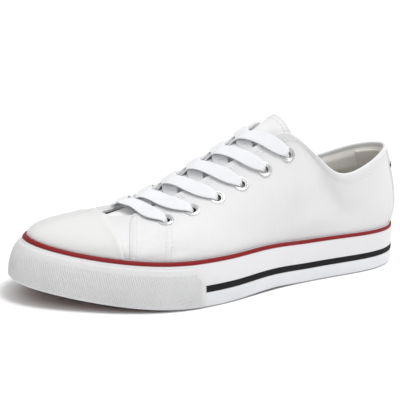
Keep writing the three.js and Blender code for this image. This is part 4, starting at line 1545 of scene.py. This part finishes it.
@dataclass
class Tongue:
    """The soft flap under the laces, with a bound top."""

    last: Last
    thickness: float = 0.0024
    fill: float = 0.3
    below: float = 0.0054
    puff: float = 0.003
    edge_round: float = 0.0012
    root_below: float = 0.0023
    root_reach: float = 0.011
    wings: tuple[float, ...] = (0.0045, 0.009, 0.0135)
    stitch_insets: tuple[float, float] = (0.0032, 0.006)
    across: int = 61
    along: int = 110

    def section(self, row: TongueRow, out: float) -> Array:
        """The points across one section, from the medial wing to the lateral."""
        last = self.last
        at = row.at * last.length

        def wing(medial: bool, reach: float) -> Array:
            turn = last.edge_turn(at, medial)
            return last.face(turn, last.inset_up(turn, reach), out)

        sheet = [wing(True, r) for r in self.wings[::-1]]
        sheet += [last.instep(at, s, out + self.puff * (1 - s * s)) for s in np.linspace(-1, 1, 5)]
        sheet += [wing(False, r) for r in self.wings]
        sheet = np.array(sheet)
        ridge, edge = sheet[5], sheet[3][2]
        x = mix(ridge[0], sheet[:, 0], row.width)
        y = mix(ridge[1], sheet[:, 1], row.width) - row.forward - row.bow * np.linspace(-1, 1, len(sheet)) ** 2
        z = np.where(
            sheet[:, 2] > edge,
            (sheet[:, 2] - edge) * row.crown + edge,
            mix(ridge[2], sheet[:, 2], row.width),
        )
        return np.stack([x, y, z + row.climb], -1)

    def root(self, share: float, out: float) -> Array:
        """The points across the tongue's root, close under the vamp round the front of the throat."""
        last = self.last
        side = last.edge_turn(TONGUE_ROWS[0].at * last.length, False) - 0.012 - 0.05 * share
        across = np.array([-1, -1, -1, -1, -0.5, 0, 0.5, 1, 1, 1, 1])
        turns = side * across % 1
        reaches = np.array([*self.wings[::-1], 0, 0, 0, 0, 0, *self.wings]) + self.root_reach * share
        ups = np.array([last.inset_up(float(t), float(r)) for t, r in zip(turns, reaches)])
        lift = (self.below - self.root_below) * mix(1 - across**2, 1, share**2)
        return last.face(turns, ups, out + lift)

    def surface(self, out: float) -> Array:
        """A fine smooth grid through the sections."""
        coarse = [self.root(share, out) for share in (1, 0.5, 0)]
        coarse = np.array(coarse + [self.section(row, out) for row in TONGUE_ROWS])
        across = np.array([smooth_line(line, self.across) for line in coarse])
        down = [smooth_line(across[:, i], self.along) for i in range(self.across)]
        return np.array(down).transpose(1, 0, 2)

    def build(self) -> bpy.types.Object:
        """Makes and places the tongue."""
        middle = self.surface(-self.below - self.thickness / 2)
        climb, side = np.gradient(middle, axis=0), np.gradient(middle, axis=1)
        normal = unit(np.cross(climb, side))
        normal *= np.sign(normal[..., 2:].mean())
        self.middle, self.normal = middle, normal
        across = length_along(middle, axis=1)
        to_side = np.minimum(across, across[:, -1:] - across)
        along = length_along(middle, axis=0)
        to_end = np.minimum(along, along[-1:] - along)
        near = np.minimum(to_side, to_end)
        rounding = rounded(near, self.edge_round)
        dip = 0.00025 * bell(along[-1:] - along, 0.0052, 0.0009)
        half = self.thickness / 2 * (0.1 + 0.9 * rounding)
        outer = middle + normal * (half - dip)[..., None]
        inner = middle - normal * half[..., None]
        uv = np.stack([across, along], -1)
        piece = slab("tongue_flap", outer, inner, uv)
        return Finish.TONGUE.place(piece, "tongue_canvas", "tongue")

    def seams(self) -> list[Array]:
        """The stitched lines round the tongue's top."""
        along = length_along(self.middle, axis=0)
        left = along[-1:] - along
        top = self.middle + self.normal * (self.thickness / 2 + 0.0001)
        lines = []
        for inset in self.stitch_insets:
            path = [
                [np.interp(-inset, -left[:, c], top[:, c, k]) for k in range(3)]
                for c in range(4, self.across - 4)
            ]
            lines.append(smooth_line(np.array(path), 60))
        return lines


# ---------------------------------------------------------------- laces, eyelets and thread


@dataclass
class Laces:
    """One flat lace: a bar across the lowest eyelets, then crossings up to the top."""

    last: Last
    upper: Upper
    width: float = 0.0102
    thickness: float = 0.001
    pinch: float = 0.0042
    over: float = 0.0019
    dip: float = 0.0034
    under: float = 0.0008
    slack: tuple[float, float, float] = (0.012, 0.02, 0.026)
    bar_slack: tuple[float, float, float] = (0.007, 0.014, 0.013)
    proud: float = 0.0012
    lift: float = 0.0016
    steps: int = 90

    def place_of(self, index: int, medial: bool) -> tuple[bool, float, float, float]:
        """Side, station, turn and share up the rib of an eyelet."""
        side, _, at, turn, up = self.upper.eyelets[index + self.last.eyelets_a_side * medial]
        return side, at, turn, up

    def stations(self, over: tuple, under: tuple, hidden: bool, lift: float) -> Array:
        """Points, face directions and widths of one crossing.

        Args:
            over: the eyelet that it goes down into.
            under: the eyelet that it comes from.
            hidden: whether it comes from under the facing.
            lift: how much higher it passes its partner.

        Returns:
            Rows of point, direction and width.
        """
        last = self.last
        sign = -1 if over[0] else 1
        near, middle, far = self.slack if hidden else self.bar_slack

        def facing(eyelet: tuple, s: float, at: float, out: float, width: float) -> list[float]:
            turn = mix(eyelet[2], last.edge_turn(at, eyelet[0]), s)
            up = mix(eyelet[3], 1, s)
            level = unit(last.instep(at, 0, 1) - last.instep(at, 0, 0))
            normal = unit(mix(last.normal(turn, up), level, s**4 / 2))
            return [*(last.rib(turn, up) + normal * out), *normal, width]

        def down(eyelet: tuple) -> list[list[float]]:
            axis = last.normal(eyelet[2], eyelet[3])
            hole = last.rib(eyelet[2], eyelet[3])
            steps = ((0.0045, 0.6), (0.001, 0.75))
            return [[*(hole - axis * deep), *axis, self.pinch * share] for deep, share in steps]

        def landing(eyelet: tuple, at: float) -> list[list[float]]:
            top = self.upper.quarter + self.proud + self.thickness / 2
            kinds = ((0.1, 0.56, 0.0004), (0.28, 0.8, 0.0), (0.6, 1.0, 0.0), (1.0, 1.0, 0.0004))
            return [facing(eyelet, s, at, top - drop, self.width * width) for s, width, drop in kinds]

        rows = down(over) + landing(over, over[1] + near)
        for s in (0.25, 0.5, 0.75):
            at = over[1] + float(np.interp(s, [0, 0.5, 1], [near, middle, far]))
            hump = lift * float(bell(s, 0.5, 0.22))
            low = mix(self.over, -self.dip, ease(s, 0.35, 1.0)) if hidden else self.over
            normal = unit(last.instep(at, 0, 1) - last.instep(at, 0, 0))
            rows.append([*last.instep(at, sign * (1 - 2 * s), low + hump), *normal, self.width])
        last_at = over[1] + far
        if hidden:
            deep = -self.upper.wall - self.thickness / 2 - self.under
            for s in (1, 0.6, 0.25):
                rows.append(facing(under, s, last_at, deep, mix(self.pinch, self.width, s)))
        else:
            rows += (down(under) + landing(under, last_at))[::-1]
        return smooth_line(np.array(rows), self.steps)

    def ribbon(self, name: str, rows: Array) -> bpy.types.Object:
        """A flat woven band with soft edges along the stations."""
        points, normals, widths = rows[:, :3], unit(rows[:, 3:6]), rows[:, 6]
        along = unit(np.gradient(points, axis=0))
        side = unit(np.cross(normals, along))
        face = unit(np.cross(along, side))
        angle = np.linspace(0, 2 * np.pi, 28, endpoint=False)
        flat = np.sign(np.cos(angle)) * np.abs(np.cos(angle)) ** 0.55
        high = np.sign(np.sin(angle)) * np.abs(np.sin(angle)) ** 0.7
        tuck = np.clip(widths / self.width, 0, 1)
        thick = self.thickness * (1 + 0.9 * (1 - tuck))
        sections = (
            points[:, None]
            + side[:, None] * (flat[None] * widths[:, None] / 2)[..., None]
            + face[:, None] * (high[None] * thick[:, None] / 2)[..., None]
        )
        run = length_along(points)
        u = flat[None] * widths[:, None] / 2
        uv = np.stack([u, np.broadcast_to(run[:, None], u.shape)], -1)
        return tube(name, sections, uv)

    def build(self) -> list[bpy.types.Object]:
        """Makes and places every visible run of the lace."""
        bar = self.stations(self.place_of(0, False), self.place_of(0, True), False, 0.0)
        made = [Finish.LACE.place(self.ribbon("lace_bar", bar), "lace_cotton", "lace")]
        for i in range(self.last.eyelets_a_side - 1):
            for side, medial, lift in (("medial", True, 0.0), ("lateral", False, self.lift)):
                run = self.stations(self.place_of(i + 1, medial), self.place_of(i, not medial), True, lift)
                piece = self.ribbon(f"lace_cross_{side}_{i + 1}", run)
                made.append(Finish.LACE.place(piece, "lace_cotton"))
        return made


@dataclass
class Trim:
    """Eyelets and stitches, each repeated by a tree."""

    last: Last
    upper: Upper
    flange: float = 0.0043
    bead: float = 0.00085
    barrel: float = 0.0031
    wall: float = 0.0006
    depth: float = 0.004
    pitch: float = 0.0027
    stitch: float = 0.001
    thread: float = 0.0002

    def eyelets(self) -> bpy.types.Object:
        """Twelve rolled nickel rings with their barrels."""
        spots = self.upper.centres + self.upper.axes * (self.upper.quarter + 0.0001)
        piece = marks("eyelet_rings", spots, self.upper.axes)
        sizes = {"Flange": self.flange, "Bead": self.bead, "Barrel": self.barrel}
        sizes |= {"Wall": self.wall, "Depth": self.depth}
        tree = Tree("eyelets", sizes, Finish.NICKEL.material())
        size = tree.enter
        bead = tree.sweep(tree.circle(40, size["Flange"]), tree.circle(12, size["Bead"]))
        flat = tree.add("GeometryNodeTransform", {"Geometry": bead, "Scale": (1.0, 1.0, 0.75)})
        section = {"Width": size["Wall"], "Height": size["Depth"]}
        wall = tree.add("GeometryNodeCurvePrimitiveQuadrilateral", section, mode="RECTANGLE")
        sleeve = tree.sweep(tree.circle(40, size["Barrel"]), wall.outputs[0])
        sunk = tree.add("GeometryNodeTransform", {"Geometry": sleeve, "Translation": (0.0, 0.0, -0.0018)})
        ring = tree.add("GeometryNodeJoinGeometry", {0: flat.outputs[0]})
        tree.fill(ring, {0: sunk.outputs[0]})
        tree.grow(piece, tree.stand(ring.outputs[0]))
        nodes = [f"eyelet_{side}_{i}" for side in ("lateral", "medial") for i in range(1, 7)]
        return place(piece, "nickel", *nodes)

    def stitches(self, name: str, lines: list[Array], slot: str) -> bpy.types.Object:
        """Short threads laid along lines.

        Args:
            name: the piece's name.
            lines: the lines' points.
            slot: the record's material slot.

        Returns:
            The placed piece.
        """
        piece = marks(name, lines, lines=True)
        sizes = {"Pitch": self.pitch, "Length": self.stitch, "Thread": self.thread}
        tree = Tree(name, sizes, Finish.THREAD.material())
        size = tree.enter
        path = tree.add("GeometryNodeMeshToCurve", {"Mesh": size["Geometry"]}).outputs[0]
        even = tree.add("GeometryNodeResampleCurve", {"Curve": path, "Length": size["Pitch"]}, mode="LENGTH")
        ball = tree.add("GeometryNodeMeshUVSphere", {"Segments": 6, "Rings": 5, "Radius": 1.0})
        shape = {"X": size["Length"], "Y": size["Thread"], "Z": size["Thread"]}
        scale = tree.add("ShaderNodeCombineXYZ", shape)
        along = tree.add("GeometryNodeInputTangent").outputs[0]
        turn = tree.add("FunctionNodeAlignRotationToVector", {"Vector": along}, axis="X")
        inputs = {"Points": even, "Instance": ball, "Rotation": turn, "Scale": scale}
        inputs = {key: node.outputs[0] for key, node in inputs.items()}
        return place(tree.grow(piece, tree.add("GeometryNodeInstanceOnPoints", inputs).outputs[0]), slot)


# ---------------------------------------------------------------- the studio


@dataclass
class Studio:
    """Floor, lights and camera."""

    azimuth: float = 28.22
    height: float = 14.61
    roll: float = 2.25
    distance: float = 0.759
    target: tuple[float, float, float] = (-0.00271, -0.0131, 0.0544)
    lens: float = 103.8
    floor_half: float = 6.0
    low_glow: float = 0.27
    high_glow: float = 0.87
    key: float = 1.84
    key_from: tuple[float, float, float] = (0.3, 0.26, 1.0)
    key_size: float = 26.0

    def floor(self) -> None:
        """A wide pale floor."""
        mesh = bpy.data.meshes.new("floor")
        w = self.floor_half
        mesh.from_pydata([(-w, -w, 0), (w, -w, 0), (w, w, 0), (-w, w, 0)], [], [(0, 1, 2, 3)])
        material, shade, skin = start_material("pale floor")
        shade.fill(skin, {"Base Color": (0.96, 0.96, 0.96, 1.0), "Roughness": 0.9})
        mesh.materials.append(material)
        link("floor", mesh)

    def lights(self) -> None:
        """An even white surround and one broad soft key from above, on the lateral side."""
        world = bpy.data.worlds.new("studio")
        bpy.context.scene.world = world
        world.use_nodes = True
        shade = Shade(world.node_tree)
        facing = shade.add("ShaderNodeTexCoord").outputs["Generated"]
        upward = shade.add("ShaderNodeSeparateXYZ", {"Vector": facing}).outputs["Z"]
        glows = {"Value": upward, "From Max": 0.7, "To Min": self.low_glow, "To Max": self.high_glow}
        glow = shade.add("ShaderNodeMapRange", glows).outputs[0]
        shade.fill(world.node_tree.nodes["Background"], {0: (1.0, 1.0, 1.0, 1.0), 1: glow})
        bpy.context.scene.view_settings.view_transform = "Standard"
        data = bpy.data.lights.new("key", "SUN")
        data.energy, data.angle = self.key, math.radians(self.key_size)
        link("key", data).rotation_euler = (-Vector(self.key_from)).to_track_quat("-Z", "Y").to_euler()

    def camera(self) -> None:
        """The camera, a little rolled."""
        b, e, r = (math.radians(v) for v in (self.azimuth, self.height, self.roll))
        to_camera = Vector((math.cos(b) * math.cos(e), -math.sin(b) * math.cos(e), math.sin(e)))
        right = (-to_camera).cross(Vector((0, 0, 1))).normalized()
        up = right.cross(-to_camera)
        side = right * math.cos(r) + up * math.sin(r)
        head = up * math.cos(r) - right * math.sin(r)
        data = bpy.data.cameras.new("camera")
        data.lens, data.sensor_width = self.lens, 36.0
        data.clip_start, data.clip_end = 0.01, 50.0
        seat = Matrix((side, head, to_camera)).transposed().to_4x4()
        seat.translation = Vector(self.target) + to_camera * self.distance
        camera = link("camera", data)
        camera.matrix_world = seat
        bpy.context.scene.camera = camera

    def build(self) -> None:
        """Sets up the whole studio."""
        self.camera()
        self.floor()
        self.lights()


def main() -> None:
    """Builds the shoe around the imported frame."""
    logging.basicConfig(level=logging.INFO, format="%(message)s", stream=sys.stdout)
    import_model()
    Studio().build()
    last = Last()
    upper, tongue = Upper(last), Tongue(last)
    laces, trim = Laces(last, upper), Trim(last, upper)
    Sole(last).build()
    upper.build()
    ToeCap(last).build()
    tongue.build()
    laces.build()
    trim.eyelets()
    trim.stitches("stitches_upper", upper.seams(), "canvas")
    trim.stitches("stitches_tongue", tongue.seams(), "tongue_canvas")


if __name__ == "__main__":
    main()
